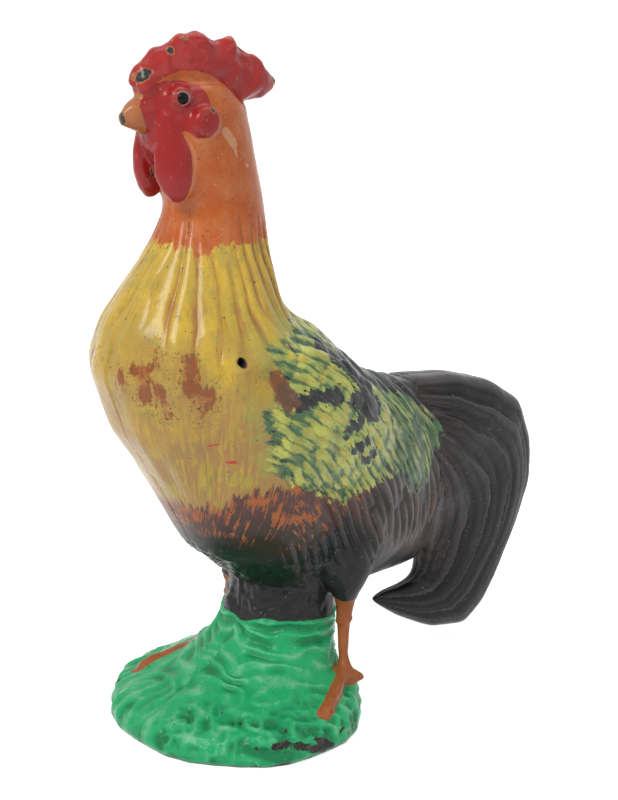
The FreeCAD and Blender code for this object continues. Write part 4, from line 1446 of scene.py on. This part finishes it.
@dataclass
class Studio:
    """A pale floor, soft light and the photograph's camera, in metres and degrees."""

    target: tuple = (0.0, -0.0154, 0.1363)
    azimuth: float = 50.0
    elevation: float = 16.0
    distance: float = 0.794
    lens: float = 81.0
    lamp_distance: float = 1.3
    lamps: tuple = (("key", 10.0, 45.0, 0.62, 10.0), ("fill", 100.0, 28.0, 1.0, 2.4),
                    ("top", 200.0, 70.0, 1.0, 3.6))
    daylight: float = 0.32
    floor_radius: float = 6.0
    floor_glow: float = 0.76

    def aim(self, thing: bpy.types.Object, azimuth: float, elevation: float, distance: float) -> None:
        """Stand a lamp or camera round the target, looking at it.

        Args:
            thing: the lamp or camera.
            azimuth: degrees round the target from the front.
            elevation: degrees above it.
            distance: metres from it.
        """
        a, e = math.radians(azimuth), math.radians(elevation)
        back = Vector((math.sin(a) * math.cos(e), -math.cos(a) * math.cos(e), math.sin(e)))
        thing.location = Vector(self.target) + back * distance
        thing.rotation_euler = (-back).to_track_quat("-Z", "Y").to_euler()
        bpy.context.scene.collection.objects.link(thing)

    def camera(self) -> None:
        """Set the camera as the photograph's."""
        lens = bpy.data.cameras.new("camera")
        lens.sensor_fit = "VERTICAL"
        lens.sensor_height = 36.0
        lens.lens = self.lens
        lens.clip_start = 0.01
        camera = bpy.data.objects.new("camera", lens)
        self.aim(camera, self.azimuth, self.elevation, self.distance)
        bpy.context.scene.camera = camera

    def light(self) -> None:
        """Hang the large soft lamps and set a world that is white where it is seen."""
        for name, azimuth, elevation, size, power in self.lamps:
            lamp = bpy.data.lights.new(name, "AREA")
            lamp.shape = "DISK"
            lamp.size = size
            lamp.energy = power
            self.aim(bpy.data.objects.new(name, lamp), azimuth, elevation, self.lamp_distance)
        board = Board(bpy.data.worlds.new("studio"), "BACKGROUND")
        bpy.context.scene.world = board.finish(Color=WHITE, Strength=self.daylight)
        board.backdrop(Wire(board, board.shader.outputs[0]),
                       board.add("ShaderNodeBackground", {}, {"Color": WHITE, "Strength": 1.0}))

    def floor(self) -> None:
        """Lay a pale round floor that keeps the shadow and is white where it is seen."""
        shape = bmesh.new()
        bmesh.ops.create_circle(shape, cap_ends=True, radius=self.floor_radius, segments=96)
        mesh = bpy.data.meshes.new("floor")
        shape.to_mesh(mesh)
        shape.free()
        floor = bpy.data.objects.new("floor", mesh)
        floor.location.z = -0.0002
        bpy.context.scene.collection.objects.link(floor)
        board = Board.paint("pale_floor")
        mesh.materials.append(board.finish(Base_Color=(0.92, 0.92, 0.92), Roughness=0.9))
        lit = Wire(board, board.shader.outputs[0])
        glow = board.add("ShaderNodeEmission", {}, {"Strength": self.floor_glow})
        board.backdrop(lit, board.add("ShaderNodeAddShader", {}, {0: lit, 1: glow}))

    def build(self) -> None:
        """Set the whole stage."""
        bpy.context.scene.view_settings.view_transform = "Standard"
        self.camera()
        self.light()
        self.floor()


def dress(piece: bpy.types.Object, material: bpy.types.Material) -> None:
    """Give a new piece its finish and its ride on the body.

    Args:
        piece: the new piece.
        material: its finish.
    """
    piece.data.materials.clear()
    piece.data.materials.append(material)
    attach(piece, "root")
    LOG.info("%s is dressed", piece.name)


def main() -> None:
    """Build the stage, the painted figure, its eyes and the screw."""
    logging.basicConfig(level=logging.INFO)
    Studio().build()
    figure = Figure().build()
    dress(figure, Enamel().material())
    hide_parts("left_half", "right_half")
    black = SmallFinish("eye_black", (0.003, 0.003, 0.003), (0.006, 0.005, 0.005), 0.14, shine=0.12)
    pale = SmallFinish("eye_ring_grey", (0.330, 0.200, 0.190), (0.240, 0.120, 0.110), 0.30, coat=0.3)
    steel = SmallFinish("dull_steel", (0.30, 0.29, 0.27), (0.12, 0.085, 0.06), 0.42, metallic=0.9)
    black, pale, steel = (finish.material() for finish in (black, pale, steel))
    for bead, rim in Eyes().build():
        dress(bead, black)
        dress(rim, pale)
    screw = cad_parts["assembly_screw"]
    screw.data.materials.clear()
    screw.data.materials.append(steel)
    LOG.info("assembly_screw is dressed")


if __name__ == "__main__":
    main()
